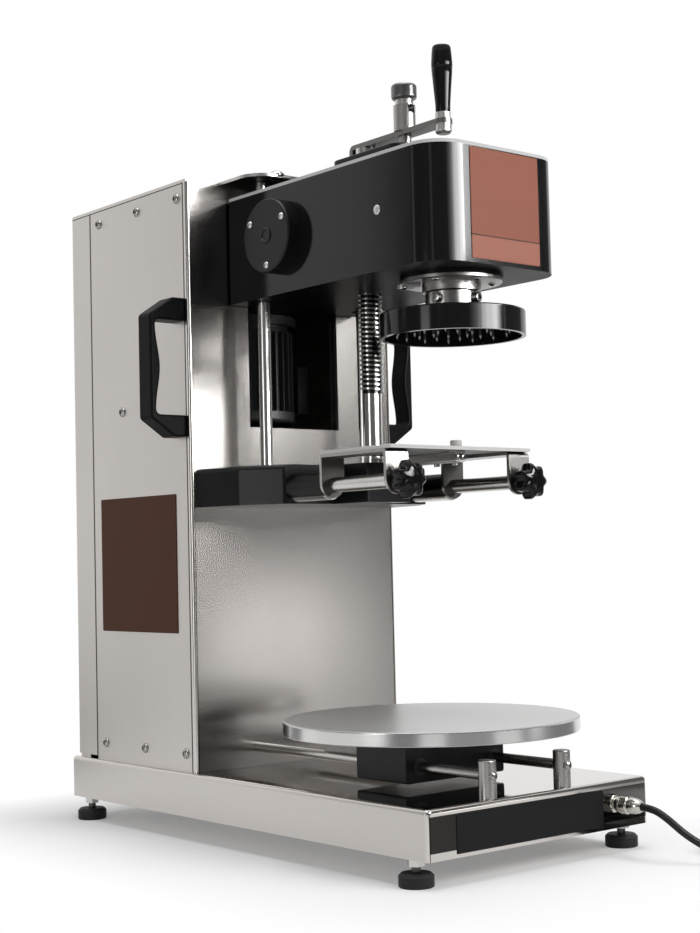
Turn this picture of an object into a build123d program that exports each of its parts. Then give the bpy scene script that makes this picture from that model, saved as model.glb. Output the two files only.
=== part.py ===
"""Bench machine that shaves chocolate onto a cake.

Millimetres, Z up, front towards -Y. The origin is on the floor under the middle of the base.
"""
import os
from math import asin, cos, pi, radians, sin, tan

from build123d import *

os.makedirs("parts", exist_ok=True)

# Base and feet
BASE_WIDTH = 354
BASE_DEPTH = 737
BASE_HEIGHT = 55
BASE_BEND = 5
BASE_FLANGE = 42
SHEET = 2
FOOT_GAP = 30
FOOT_INSET_X = 12
FOOT_INSET_Y = 32.5
FOOT_X = BASE_WIDTH / 2 - FOOT_INSET_X
FOOT_Y = BASE_DEPTH / 2 - FOOT_INSET_Y
FOOT_RADIUS = 19.5
FOOT_PAD = 15
STUD_RADIUS = 5
LOCKNUT_FLATS = 17

# Column
COLUMN_WIDTH = 339
COLUMN_FRONT = 70.5
COLUMN_INSET = 3
COLUMN_BACK = BASE_DEPTH / 2 - COLUMN_INSET
COLUMN_TOP = 845
TOP_PLATE = 4
FRONT_BEND = 4
FRONT_RETURN = 8
COVER_RETURN = 54
COVER_BEND = 8
COVER_LIFT = 4
SEAM = 0.5
OPENING_WIDTH = 150
OPENING_BOTTOM = 526.5
OPENING_TOP = 833
OPENING_LIP = 16
POST_LEG = 30
POST_WALL = 3
TONGUE_WIDTH = 240
TONGUE_FRONT = -14
TONGUE_CORNER = 35
NOSE_WIDTH = 80
HANDLE_BOTTOM = 511.5
HANDLE_LENGTH = 179.5
HANDLE_REACH = 51.5
HANDLE_WIDTH = 30
HANDLE_FRONT = 80

# Lift
ROD_X = 82.7
ROD_Y = 25
ROD_RADIUS = 8
SCREW_Y = -90
THREAD_RADIUS = 15
THREAD_PITCH = 6
THREAD_TURNS = 46
THREAD_TOP = 835
THREAD_BOTTOM = THREAD_TOP - THREAD_TURNS * THREAD_PITCH
CORE_RADIUS = 11.75
JOURNAL_RADIUS = 10
BRACKET_BOTTOM = 420.5
BRACKET_HEIGHT = 49
BRACKET_WIDTH = 326
BRACKET_FRONT = -57
BRACKET_NOSE = -118
INDEX_WIDTH = 60
INDEX_BACK = -54
INDEX_FRONT = -182
INDEX_HEIGHT = 15

# Crank
ARM_BOTTOM = 873
ARM_THICK = 6
ARM_WIDTH = 22
ARM_BACK = -69.5
ARM_LEG = 11
GRIP_Y = -235
GRIP_COLLAR = 8.3
GRIP_LENGTH = 82.2
GRIP_BOTTOM = ARM_BOTTOM + ARM_THICK + GRIP_COLLAR
GRIP_TOP = GRIP_BOTTOM + GRIP_LENGTH
PLUNGER_Y = -165
PLUNGER_DROP = 7

# Head
HEAD_WIDTH = 210
HEAD_BACK = 66.5
HEAD_FRONT = -331.5
HEAD_BOTTOM = 685
HEAD_HEIGHT = 135.5
HEAD_CORNER = 43
HEAD_WALL = 5
HEAD_FLOOR = 8
LID = 4
NECK_WIDTH = 136
NECK_BACK = 236
SPINDLE_Y = -241.6
SIDE_COVER_Y = -38
SIDE_COVER_Z = 757
SIDE_COVER_RADIUS = 46.5
SIDE_COVER_DEPTH = 19.5

# Drive
MOTOR_Y = 166
MOTOR_RADIUS = 57
MOTOR_BOTTOM = 538
MOTOR_FINS = 28
MOTOR_SHAFT = 9.5
DRIVE_RADIUS = 30
SPINDLE_PULLEY = 60
BELT_BOTTOM = 765.3
BELT_WIDTH = 21.4
BELT_THICK = 4
SPINDLE_SHAFT = 15
BEARING_RADIUS = 31
RING_RADIUS = 87.5
RING_BOTTOM = 612
RING_HEIGHT = 30
RING_WALL = 5
SPIKE_RADIUS = 1.6
SPIKE_LENGTH = 22

# Blade table
BLADE_PLATE_WIDTH = 228
BLADE_ROD_INSET = 14.5
BLADE_ROD_X = BLADE_PLATE_WIDTH / 2 - BLADE_ROD_INSET
BLADE_ROD_RISE = 19.5
BLADE_ROD_Z = BRACKET_BOTTOM + BLADE_ROD_RISE
BLADE_ROD_RADIUS = 9
BLADE_ROD_SHOULDER = 17.5
BLADE_PLATE_FRONT = -254
BLADE_PLATE_BACK = -124
BLADE_PLATE_RISE = 37
BLADE_PLATE_BOTTOM = BLADE_ROD_Z + BLADE_PLATE_RISE
BLADE_PLATE = 4.3
STUB_RADIUS = 7
STUB_HEIGHT = 7.7
RING_CLEARANCE = 3
CLAMP_WIDTH = 35
CLAMP_WALL = 4
CLAMP_BELOW = 15.5
KNOB_RADIUS = 22.5
KNOB_LOBES = 7

# Turntable
RAIL_X = (-74, 45)
RAIL_Z = 110
RAIL_RADIUS = 6
POST_INSET = 13.5
POST_Y = POST_INSET - BASE_DEPTH / 2
POST_RADIUS = 10
POST_TOP = 127
TABLE_X = -14.5
TABLE_Y = -200
TABLE_RADIUS = 177.2
TABLE_TOP = 160.4
TABLE_THICK = 16.5
CARRIAGE_X = (-97, 60)
CARRIAGE_FRONT = -246
CARRIAGE_DEPTH = 87
CARRIAGE_BOTTOM = 92
CARRIAGE_TOP = 135

# Mains lead
GLAND_X = 113
GLAND_Z = 60
GLAND_LENGTH = 46
GLAND_RECESS = 6
LEAD_DIAMETER = 8.5
COIL_PITCH = 9.2
COIL_OUTER = 58
COIL_HALF_TURNS = 6
COIL_LIFT = 1.35
LEAD_END = 62

# Fits
RUN = 0.05
SEAT = 0.03
LOOSE = 0.5

base_bottom = FOOT_GAP
base_top = FOOT_GAP + BASE_HEIGHT
base_front = -BASE_DEPTH / 2
panel_top = COLUMN_TOP - TOP_PLATE
half_column = COLUMN_WIDTH / 2
bracket_top = BRACKET_BOTTOM + BRACKET_HEIGHT
index_top = COLUMN_TOP + INDEX_HEIGHT
head_top = HEAD_BOTTOM + HEAD_HEIGHT
plate_top = BLADE_PLATE_BOTTOM + BLADE_PLATE
stub_top = plate_top + STUB_HEIGHT
head_travel = RING_BOTTOM - RING_CLEARANCE - stub_top
lift_turns = head_travel / THREAD_PITCH
ring_top = RING_BOTTOM + RING_HEIGHT
lead_radius = LEAD_DIAMETER / 2
UP = (Align.CENTER, Align.CENTER, Align.MIN)


def bar_z(x, y, radius, z0, z1, mode=Mode.ADD):
    """Round bar along Z."""
    with Locations((x, y, z0)):
        Cylinder(radius, z1 - z0, align=UP, mode=mode)


def bar_y(x, z, radius, y0, y1, mode=Mode.ADD):
    """Round bar along Y."""
    with Locations(Location((x, (y0 + y1) / 2, z), (90, 0, 0))):
        Cylinder(radius, abs(y1 - y0), mode=mode)


def block(x0, x1, y0, y1, z0, z1, mode=Mode.ADD):
    """Box between two corners."""
    with Locations(((x0 + x1) / 2, (y0 + y1) / 2, (z0 + z1) / 2)):
        Box(abs(x1 - x0), abs(y1 - y0), abs(z1 - z0), mode=mode)


def save(piece, node):
    """Name a finished piece and write it."""
    piece.part.label = node
    export_step(piece.part, f"parts/{node}.step")


# Base: one folded sheet with rounded bends, open below, with a flange turned inwards for the feet.
foot_points = [(x, y) for x in (-FOOT_X, FOOT_X) for y in (-FOOT_Y, FOOT_Y)]

with BuildPart() as base_housing:
    with BuildSketch(Plane.XY.offset(base_bottom)):
        RectangleRounded(BASE_WIDTH, BASE_DEPTH, BASE_BEND + 1)
    extrude(amount=BASE_HEIGHT)
    fillet(base_housing.faces().sort_by(Axis.Z)[-1].edges(), BASE_BEND)
    offset(amount=-SHEET, openings=base_housing.faces().sort_by(Axis.Z)[0])
    with BuildSketch(Plane.XY.offset(base_bottom)):
        RectangleRounded(BASE_WIDTH, BASE_DEPTH, BASE_BEND + 1)
        Rectangle(BASE_WIDTH - 2 * BASE_FLANGE, BASE_DEPTH - 2 * BASE_FLANGE, mode=Mode.SUBTRACT)
    extrude(amount=SHEET)
    for x, y in foot_points:
        bar_z(x, y, STUD_RADIUS + LOOSE, base_bottom, base_bottom + SHEET, Mode.SUBTRACT)
save(base_housing, "base_housing")

with BuildPart() as foot_pads:
    for x, y in foot_points:
        bar_z(x, y, FOOT_RADIUS, 0, FOOT_PAD)
    chamfer(foot_pads.edges().filter_by(GeomType.CIRCLE).group_by(Axis.Z)[-1], 3)
    chamfer(foot_pads.edges().filter_by(GeomType.CIRCLE).group_by(Axis.Z)[0], 1)
save(foot_pads, "foot_pads")

with BuildPart() as foot_studs:
    for x, y in foot_points:
        bar_z(x, y, STUD_RADIUS, FOOT_PAD, base_bottom + 18)
        with BuildSketch(Plane.XY.offset(base_bottom - 8)):
            with Locations((x, y)):
                RegularPolygon(LOCKNUT_FLATS / 2, 6, major_radius=False)
        extrude(amount=8)
save(foot_studs, "foot_studs")

# Column: front panel and rear cover are bent to a U, the side panels close the space between them.
with BuildPart() as front_panel:
    with BuildSketch(Plane.XY.offset(base_top)):
        with Locations((0, COLUMN_FRONT + FRONT_RETURN / 2)):
            outer = Rectangle(COLUMN_WIDTH, FRONT_RETURN)
        fillet(outer.vertices().group_by(Axis.Y)[0], FRONT_BEND)
        with BuildSketch(mode=Mode.SUBTRACT):
            with Locations((0, COLUMN_FRONT + SHEET + FRONT_RETURN / 2)):
                inner = Rectangle(COLUMN_WIDTH - 2 * SHEET, FRONT_RETURN)
            fillet(inner.vertices().group_by(Axis.Y)[0], FRONT_BEND - SHEET)
    extrude(amount=panel_top - base_top)
    half_open = OPENING_WIDTH / 2
    lip_back = COLUMN_FRONT + OPENING_LIP
    block(-half_open - SHEET, half_open + SHEET, COLUMN_FRONT + SHEET, lip_back,
          OPENING_BOTTOM - SHEET, OPENING_TOP)
    block(-half_open, half_open, COLUMN_FRONT, lip_back, OPENING_BOTTOM, OPENING_TOP, Mode.SUBTRACT)
save(front_panel, "front_panel")

side_front = COLUMN_FRONT + FRONT_RETURN + SEAM
cover_front = COLUMN_BACK - COVER_RETURN
for side, name in ((-1, "side_panel_left"), (1, "side_panel_right")):
    with BuildPart() as side_panel:
        block(side * half_column, side * (half_column - SHEET), side_front, cover_front - SEAM, base_top, panel_top)
    save(side_panel, name)

with BuildPart() as rear_cover:
    with BuildSketch(Plane.XY.offset(base_top + COVER_LIFT)):
        with Locations((0, COLUMN_BACK - COVER_RETURN / 2)):
            outer = Rectangle(COLUMN_WIDTH, COVER_RETURN)
        fillet(outer.vertices().group_by(Axis.Y)[-1], COVER_BEND)
        with BuildSketch(mode=Mode.SUBTRACT):
            with Locations((0, COLUMN_BACK - SHEET - COVER_RETURN / 2)):
                inner = Rectangle(COLUMN_WIDTH - 2 * SHEET, COVER_RETURN)
            fillet(inner.vertices().group_by(Axis.Y)[-1], COVER_BEND - SHEET)
    extrude(amount=panel_top - base_top - COVER_LIFT)
save(rear_cover, "rear_cover")

# Corner posts: four angles that the panels are screwed to.
with BuildPart() as corner_posts:
    post_x = half_column - SHEET
    post_front = COLUMN_FRONT + SHEET
    post_back = COLUMN_BACK - SHEET
    for side in (-1, 1):
        for face, inward in ((post_front, 1), (post_back, -1)):
            with BuildSketch(Plane.XY.offset(base_top)):
                with BuildLine():
                    Polyline(
                        (side * post_x, face),
                        (side * (post_x - POST_LEG), face),
                        (side * (post_x - POST_LEG), face + inward * POST_WALL),
                        (side * (post_x - POST_WALL), face + inward * POST_WALL),
                        (side * (post_x - POST_WALL), face + inward * POST_LEG),
                        (side * post_x, face + inward * POST_LEG),
                        close=True,
                    )
                make_face()
            extrude(amount=panel_top - base_top)
    outer_edges = [
        edge
        for edge in corner_posts.edges().filter_by(Axis.Z)
        if abs(abs(edge.center().X) - post_x) < 0.01
        and min(abs(edge.center().Y - post_front), abs(edge.center().Y - post_back)) < 0.01
    ]
    fillet(outer_edges, COVER_BEND - SHEET + 1)
save(corner_posts, "corner_posts")

# Top plate: closes the column and reaches forward as a tongue and a narrow nose for the screw.
with BuildPart() as top_plate:
    with BuildSketch(Plane.XY.offset(panel_top)):
        with Locations((0, (COLUMN_FRONT + COLUMN_BACK) / 2)):
            cap = Rectangle(COLUMN_WIDTH, COLUMN_BACK - COLUMN_FRONT)
        fillet(cap.vertices().group_by(Axis.Y)[-1], COVER_BEND)
        with BuildSketch():
            with Locations((0, (TONGUE_FRONT + COLUMN_FRONT) / 2)):
                tongue = Rectangle(TONGUE_WIDTH, COLUMN_FRONT - TONGUE_FRONT)
            fillet(tongue.vertices().group_by(Axis.Y)[0], TONGUE_CORNER)
        with BuildSketch():
            nose_front = INDEX_FRONT - 4
            with Locations((0, (nose_front + COLUMN_FRONT) / 2)):
                nose = Rectangle(NOSE_WIDTH, COLUMN_FRONT - nose_front)
            fillet(nose.vertices().group_by(Axis.Y)[0], 30)
    extrude(amount=TOP_PLATE)
    bar_z(0, SCREW_Y, JOURNAL_RADIUS + 1, panel_top, COLUMN_TOP, Mode.SUBTRACT)
save(top_plate, "top_plate")

# Bridge handles with chamfered shoulders and a grip that swells towards the fingers.
for side, name in ((-1, "handle_left"), (1, "handle_right")):
    with BuildPart() as handle:
        with BuildSketch(Plane.XZ.offset(-HANDLE_FRONT - HANDLE_WIDTH)):
            root = side * half_column
            with BuildLine():
                Polyline(
                    (root, HANDLE_BOTTOM),
                    (root + side * 17, HANDLE_BOTTOM),
                    (root + side * HANDLE_REACH, HANDLE_BOTTOM + 23),
                    (root + side * HANDLE_REACH, HANDLE_BOTTOM + HANDLE_LENGTH - 23),
                    (root + side * 17, HANDLE_BOTTOM + HANDLE_LENGTH),
                    (root, HANDLE_BOTTOM + HANDLE_LENGTH),
                    close=True,
                )
            make_face()
            with BuildSketch(mode=Mode.SUBTRACT):
                with BuildLine():
                    window_low = HANDLE_BOTTOM + 28
                    window_high = HANDLE_BOTTOM + HANDLE_LENGTH - 30
                    thin = root + side * (HANDLE_REACH - 8)
                    thick = root + side * (HANDLE_REACH - 14.5)
                    Polyline((thin, window_low), (root - side, window_low), (root - side, window_high), (thin, window_high))
                    Spline(
                        (thin, window_high),
                        (thin - side, window_high - 20),
                        (thick, (window_low + window_high) / 2),
                        (thin - side, window_low + 20),
                        (thin, window_low),
                    )
                make_face()
        extrude(amount=HANDLE_WIDTH)
        rounded = handle.edges().filter_by(Axis.Y).filter_by(
            lambda edge: abs(edge.center().X) > half_column + 10
        )
        fillet(rounded, 7)
        ends = handle.faces().filter_by(Axis.Y)
        rims = [e for e in ends.edges() if abs(e.center().X) > half_column + 0.1]
        fillet(rims, 3)
    save(handle, name)

# Lower bracket: the fixed foot of the guide rods, the lead screw and the blade rods.
with BuildPart() as lower_bracket:
    with BuildSketch(Plane.XY.offset(BRACKET_BOTTOM)):
        with BuildLine():
            half_bracket = BRACKET_WIDTH / 2
            Polyline(
                (-half_bracket, COLUMN_FRONT),
                (12 - half_bracket, -6),
                (46 - half_bracket, BRACKET_FRONT),
                (half_bracket - 46, BRACKET_FRONT),
                (half_bracket - 12, -6),
                (half_bracket, COLUMN_FRONT),
                close=True,
            )
        make_face()
        with Locations((0, (BRACKET_NOSE + BRACKET_FRONT) / 2)):
            Rectangle(72, BRACKET_FRONT - BRACKET_NOSE)
    extrude(amount=BRACKET_HEIGHT)
    ends = lower_bracket.faces().filter_by(lambda f: abs(f.center().X) > half_bracket - 10)
    fillet(ends.edges().group_by(Axis.Z)[-1], 7)
    bends = [e for e in lower_bracket.edges().filter_by(Axis.Z) if abs(e.center().X) > 100 and e.center().Y < 60]
    fillet(bends, 6)
    nose_edges = [e for e in lower_bracket.edges().filter_by(Axis.Z) if e.center().Y < BRACKET_NOSE + 1]
    fillet(nose_edges, 3)
    for side in (-1, 1):
        bar_z(side * ROD_X, ROD_Y, ROD_RADIUS + SEAT, BRACKET_BOTTOM + 12, bracket_top, Mode.SUBTRACT)
        bar_y(side * BLADE_ROD_X, BLADE_ROD_Z, BLADE_ROD_RADIUS + SEAT,
              BRACKET_FRONT + 40, BRACKET_FRONT, Mode.SUBTRACT)
    bar_z(0, SCREW_Y, CORE_RADIUS + RUN, BRACKET_BOTTOM + 12, bracket_top, Mode.SUBTRACT)
save(lower_bracket, "lower_bracket")

for side, name in ((-1, "guide_rod_left"), (1, "guide_rod_right")):
    with BuildPart() as guide_rod:
        bar_z(side * ROD_X, ROD_Y, ROD_RADIUS, BRACKET_BOTTOM + 12, panel_top)
        chamfer(guide_rod.edges().filter_by(GeomType.CIRCLE), 1)
    save(guide_rod, name)

with BuildPart() as index_block:
    with BuildSketch(Plane.XY.offset(COLUMN_TOP)):
        with Locations((0, (INDEX_BACK + INDEX_FRONT) / 2)):
            RectangleRounded(INDEX_WIDTH, INDEX_BACK - INDEX_FRONT, 12)
    extrude(amount=INDEX_HEIGHT)
    fillet(index_block.faces().sort_by(Axis.Z)[-1].edges(), 2)
    bar_z(0, SCREW_Y, JOURNAL_RADIUS + RUN, COLUMN_TOP, index_top, Mode.SUBTRACT)
    bar_z(0, PLUNGER_Y, 4 + RUN, COLUMN_TOP + 4, index_top, Mode.SUBTRACT)
save(index_block, "index_block")

# Lead screw: plain below, full thread diameter above, journal through the index block.
with BuildPart() as lead_screw:
    bar_z(0, SCREW_Y, CORE_RADIUS, BRACKET_BOTTOM + 12.5, THREAD_BOTTOM)
    bar_z(0, SCREW_Y, THREAD_RADIUS, THREAD_BOTTOM, THREAD_TOP)
    bar_z(0, SCREW_Y, JOURNAL_RADIUS, THREAD_TOP, ARM_BOTTOM)
    wide = lead_screw.edges().filter_by(
        lambda e: e.geom_type == GeomType.CIRCLE and e.radius > CORE_RADIUS + 1
    )
    chamfer(wide, 2.5)
save(lead_screw, "lead_screw")

with BuildPart() as crank_hub:
    bar_z(0, SCREW_Y, 13.5, index_top + 0.4, ARM_BOTTOM)
    chamfer(crank_hub.edges().group_by(Axis.Z)[0], 1.5)
    bar_z(0, SCREW_Y, JOURNAL_RADIUS + SEAT, index_top + 0.4, ARM_BOTTOM, Mode.SUBTRACT)
save(crank_hub, "crank_hub")

# Crank arm: flat bar with its rear end bent down, and the stud that the grip turns on.
arm_top = ARM_BOTTOM + ARM_THICK
with BuildPart() as crank_arm:
    with BuildSketch(Plane.YZ):
        with BuildLine():
            Polyline(
                (ARM_BACK, ARM_BOTTOM - ARM_LEG),
                (ARM_BACK, arm_top),
                (GRIP_Y - ARM_WIDTH / 2, arm_top),
                (GRIP_Y - ARM_WIDTH / 2, ARM_BOTTOM),
                (ARM_BACK - ARM_THICK, ARM_BOTTOM),
                (ARM_BACK - ARM_THICK, ARM_BOTTOM - ARM_LEG),
                close=True,
            )
        make_face()
    extrude(amount=ARM_WIDTH / 2, both=True)
    fillet(crank_arm.edges().filter_by(Axis.X).sort_by_distance((0, ARM_BACK, arm_top))[0], 8)
    fillet(crank_arm.edges().filter_by(Axis.X).sort_by_distance((0, ARM_BACK - ARM_THICK, ARM_BOTTOM))[0], 0.8)
    fillet(crank_arm.edges().filter_by(Axis.Z).group_by(Axis.Y)[0], ARM_WIDTH / 2 - 0.1)
    bar_z(0, PLUNGER_Y, 8 + SEAT, ARM_BOTTOM, arm_top, Mode.SUBTRACT)
    bar_z(0, GRIP_Y, 10, ARM_BOTTOM - 12, ARM_BOTTOM)
    fillet(crank_arm.edges().filter_by(GeomType.CIRCLE).group_by(Axis.Z)[0], 4)
    bar_z(0, GRIP_Y, 9.5, arm_top, GRIP_BOTTOM - 0.3)
    bar_z(0, GRIP_Y, 4, GRIP_BOTTOM - 0.3, GRIP_TOP - 15)
save(crank_arm, "crank_arm")

with BuildPart() as crank_grip:
    with BuildSketch(Plane.XZ.offset(-GRIP_Y)):
        with BuildLine():
            swell = Spline(
                (9.6, GRIP_BOTTOM),
                (10.6, GRIP_BOTTOM + 16),
                (13, GRIP_TOP - 24),
                (12.8, GRIP_TOP - 14),
                (11.4, GRIP_TOP - 4),
            )
            crown = Polyline(swell @ 1, (9, GRIP_TOP), (0, GRIP_TOP), (0, GRIP_TOP - 14),
                             (4 + RUN, GRIP_TOP - 14), (4 + RUN, GRIP_BOTTOM), (9.6, GRIP_BOTTOM))
        make_face()
    revolve(axis=Axis((0, GRIP_Y, 0), (0, 0, 1)))
save(crank_grip, "crank_grip")

# Indexing plunger: sleeve in the crank arm, pin with a pull knob parked in its upper position.
plunger_top = ARM_BOTTOM + 38.6
with BuildPart() as plunger_body:
    bar_z(0, PLUNGER_Y, 8, index_top + 3, arm_top)
    bar_z(0, PLUNGER_Y, 13.8, arm_top, plunger_top)
    bar_z(0, PLUNGER_Y, 12, plunger_top - 10.5, plunger_top, Mode.SUBTRACT)
    bar_z(0, PLUNGER_Y, 4 + RUN, index_top + 3, plunger_top, Mode.SUBTRACT)
    block(-5, 5, PLUNGER_Y - 16, PLUNGER_Y, plunger_top - 10.5, plunger_top, Mode.SUBTRACT)
save(plunger_body, "plunger_body")

with BuildPart() as plunger_pin:
    bar_z(0, PLUNGER_Y, 4, index_top + 1, plunger_top)
    chamfer(plunger_pin.edges().group_by(Axis.Z)[0], 1)
    bar_z(0, PLUNGER_Y, 11.5, plunger_top, plunger_top + PLUNGER_DROP + 1)
    bar_z(0, PLUNGER_Y, 16, plunger_top + PLUNGER_DROP + 0.5, ARM_BOTTOM + 65.5)
    rims = plunger_pin.edges().filter_by(lambda e: e.geom_type == GeomType.CIRCLE and e.radius > 15)
    fillet(rims, 4)
save(plunger_pin, "plunger_pin")


def head_outline(inset):
    """Plan of the head with its neck, as faces drawn in from the outer line."""
    with BuildSketch() as plan:
        with Locations((0, (HEAD_FRONT + HEAD_BACK) / 2)):
            body = Rectangle(HEAD_WIDTH - 2 * inset, HEAD_BACK - HEAD_FRONT - 2 * inset)
        fillet(body.vertices().group_by(Axis.Y)[0], HEAD_CORNER - inset)
        fillet(body.vertices().group_by(Axis.Y)[-1], 4)
        with BuildSketch() as neck:
            with Locations((0, (NECK_BACK - inset) / 2)):
                stem = Rectangle(NECK_WIDTH - 2 * inset, NECK_BACK - inset)
            fillet(stem.vertices().group_by(Axis.Y)[-1], 20 - inset)
    return plan.sketch


# Head: hollow housing with bosses for the guide bushes and the spindle, closed by a flat lid.
with BuildPart() as head_housing:
    extrude(Plane.XY.offset(HEAD_BOTTOM) * head_outline(0), amount=HEAD_HEIGHT)
    cavity = Plane.XY.offset(HEAD_BOTTOM + HEAD_FLOOR) * head_outline(HEAD_WALL)
    extrude(cavity, amount=HEAD_HEIGHT, mode=Mode.SUBTRACT)
    for side in (-1, 1):
        bar_z(side * ROD_X, ROD_Y, 19, HEAD_BOTTOM, head_top)
        bar_z(side * ROD_X, ROD_Y, 14, HEAD_BOTTOM, head_top, Mode.SUBTRACT)
    bar_z(0, SPINDLE_Y, 42, HEAD_BOTTOM, HEAD_BOTTOM + 70)
    bar_z(0, SPINDLE_Y, 62.5, HEAD_BOTTOM - 4, HEAD_BOTTOM)
    bar_z(0, SPINDLE_Y, BEARING_RADIUS, HEAD_BOTTOM - 4, HEAD_BOTTOM + 70, Mode.SUBTRACT)
    bar_z(0, SCREW_Y, THREAD_RADIUS + 1, HEAD_BOTTOM, HEAD_BOTTOM + HEAD_FLOOR, Mode.SUBTRACT)
    bar_z(0, MOTOR_Y, 20, HEAD_BOTTOM, HEAD_BOTTOM + HEAD_FLOOR, Mode.SUBTRACT)
save(head_housing, "head_housing")

with BuildPart() as head_lid:
    extrude(Plane.XY.offset(head_top) * head_outline(0), amount=LID)
    for side in (-1, 1):
        bar_z(side * ROD_X, ROD_Y, ROD_RADIUS + LOOSE, head_top, head_top + LID, Mode.SUBTRACT)
    bar_z(0, SCREW_Y, THREAD_RADIUS + 1, head_top, head_top + LID, Mode.SUBTRACT)
save(head_lid, "head_lid")

with BuildPart() as side_cover:
    cover_face = -HEAD_WIDTH / 2
    with Locations(Location((cover_face - SIDE_COVER_DEPTH / 2, SIDE_COVER_Y, SIDE_COVER_Z), (0, 90, 0))):
        Cylinder(SIDE_COVER_RADIUS, SIDE_COVER_DEPTH)
    fillet(side_cover.edges().filter_by(GeomType.CIRCLE).group_by(Axis.X)[0], 2)
save(side_cover, "side_cover")

with BuildPart() as guide_bushes:
    for side in (-1, 1):
        bar_z(side * ROD_X, ROD_Y, 14 - SEAT, HEAD_BOTTOM + 3, HEAD_BOTTOM + 73)
        bar_z(side * ROD_X, ROD_Y, ROD_RADIUS + RUN, HEAD_BOTTOM + 3, HEAD_BOTTOM + 73, Mode.SUBTRACT)
save(guide_bushes, "guide_bushes")

with BuildPart() as screw_nut:
    nut_seat = HEAD_BOTTOM + HEAD_FLOOR
    bar_z(0, SCREW_Y, 32, nut_seat, nut_seat + 10)
    bar_z(0, SCREW_Y, 25, nut_seat + 10, nut_seat + 55)
    bar_z(0, SCREW_Y, THREAD_RADIUS + 0.1, nut_seat, nut_seat + 55, Mode.SUBTRACT)
save(screw_nut, "screw_nut")

with BuildPart() as spindle_bearings:
    for low in (HEAD_BOTTOM + 2, HEAD_BOTTOM + 52):
        bar_z(0, SPINDLE_Y, BEARING_RADIUS - SEAT, low, low + 16)
        bar_z(0, SPINDLE_Y, SPINDLE_SHAFT + RUN, low, low + 16, Mode.SUBTRACT)
save(spindle_bearings, "spindle_bearings")

cover_low = HEAD_BOTTOM - 18.3
with BuildPart() as bearing_cover:
    bar_z(0, SPINDLE_Y, 61, HEAD_BOTTOM - 8.5, HEAD_BOTTOM - 4)
    chamfer(bearing_cover.edges().group_by(Axis.Z)[0], 1)
    bar_z(0, SPINDLE_Y, 35.5, cover_low, HEAD_BOTTOM - 8.5)
    bar_z(0, SPINDLE_Y, SPINDLE_SHAFT + 3, cover_low, HEAD_BOTTOM - 4, Mode.SUBTRACT)
save(bearing_cover, "bearing_cover")

# Slotted arm: flat strip under the flange of the bearing cover.
with BuildPart() as slotted_arm:
    arm_low = HEAD_BOTTOM - 12
    arm_frame = Plane((0, SPINDLE_Y, arm_low), x_dir=(cos(radians(144)), sin(radians(144)), 0), z_dir=(0, 0, 1))
    with BuildSketch(arm_frame):
        with Locations((48, 0)):
            Rectangle(20, 16)
        with Locations((58, 0)):
            Circle(8)
        with Locations((52, 0)):
            SlotOverall(16, 6, mode=Mode.SUBTRACT)
    extrude(amount=3.5)
save(slotted_arm, "slotted_arm")


def belt_loop(grow):
    """Face inside an open belt line that lies a distance outside both pulleys."""
    small = DRIVE_RADIUS + grow
    large = SPINDLE_PULLEY + grow
    lean = asin((large - small) / (MOTOR_Y - SPINDLE_Y))
    with BuildSketch() as loop:
        with Locations((0, MOTOR_Y)):
            Circle(small)
        with Locations((0, SPINDLE_Y)):
            Circle(large)
        with BuildLine():
            Polyline(
                (-small * cos(lean), MOTOR_Y + small * sin(lean)),
                (small * cos(lean), MOTOR_Y + small * sin(lean)),
                (large * cos(lean), SPINDLE_Y + large * sin(lean)),
                (-large * cos(lean), SPINDLE_Y + large * sin(lean)),
                close=True,
            )
        make_face()
    return loop.sketch


with BuildPart() as drive_belt:
    belt_plane = Plane.XY.offset(BELT_BOTTOM)
    extrude(belt_plane * belt_loop(0.3 + BELT_THICK), amount=BELT_WIDTH)
    extrude(belt_plane * belt_loop(0.3), amount=BELT_WIDTH, mode=Mode.SUBTRACT)
save(drive_belt, "drive_belt")


def pulley(y, radius, bore):
    """Flanged pulley at the height of the belt."""
    low = BELT_BOTTOM - 0.3
    high = BELT_BOTTOM + BELT_WIDTH + 0.3
    bar_z(0, y, radius, low - 2, high + 2)
    bar_z(0, y, radius + BELT_THICK + 2, low - 2, low)
    bar_z(0, y, radius + BELT_THICK + 2, high, high + 2)
    bar_z(0, y, bore + SEAT, low - 2, high + 2, Mode.SUBTRACT)


with BuildPart() as drive_pulley:
    pulley(MOTOR_Y, DRIVE_RADIUS, MOTOR_SHAFT)
save(drive_pulley, "drive_pulley")

with BuildPart() as spindle_pulley:
    pulley(SPINDLE_Y, SPINDLE_PULLEY, SPINDLE_SHAFT)
save(spindle_pulley, "spindle_pulley")

shaft_top = BELT_BOTTOM + BELT_WIDTH + 6
with BuildPart() as spindle_shaft:
    bar_z(0, SPINDLE_Y, SPINDLE_SHAFT, ring_top, shaft_top)
    chamfer(spindle_shaft.edges().group_by(Axis.Z)[-1], 1)
save(spindle_shaft, "spindle_shaft")

with BuildPart() as spindle_hub:
    bar_z(0, SPINDLE_Y, 32, ring_top, cover_low - LOOSE)
    chamfer(spindle_hub.edges().group_by(Axis.Z)[-1], 1)
    bar_z(0, SPINDLE_Y, SPINDLE_SHAFT + SEAT, ring_top, cover_low, Mode.SUBTRACT)
save(spindle_hub, "spindle_hub")

# Spiked ring: shallow cup that grips the chocolate, with pins under its web.
ring_web = 6
with BuildPart() as spike_ring:
    bar_z(0, SPINDLE_Y, RING_RADIUS, RING_BOTTOM, ring_top)
    fillet(spike_ring.edges().group_by(Axis.Z)[-1], 2)
    bar_z(0, SPINDLE_Y, RING_RADIUS - RING_WALL, RING_BOTTOM, ring_top - ring_web, Mode.SUBTRACT)
save(spike_ring, "spike_ring")

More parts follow.
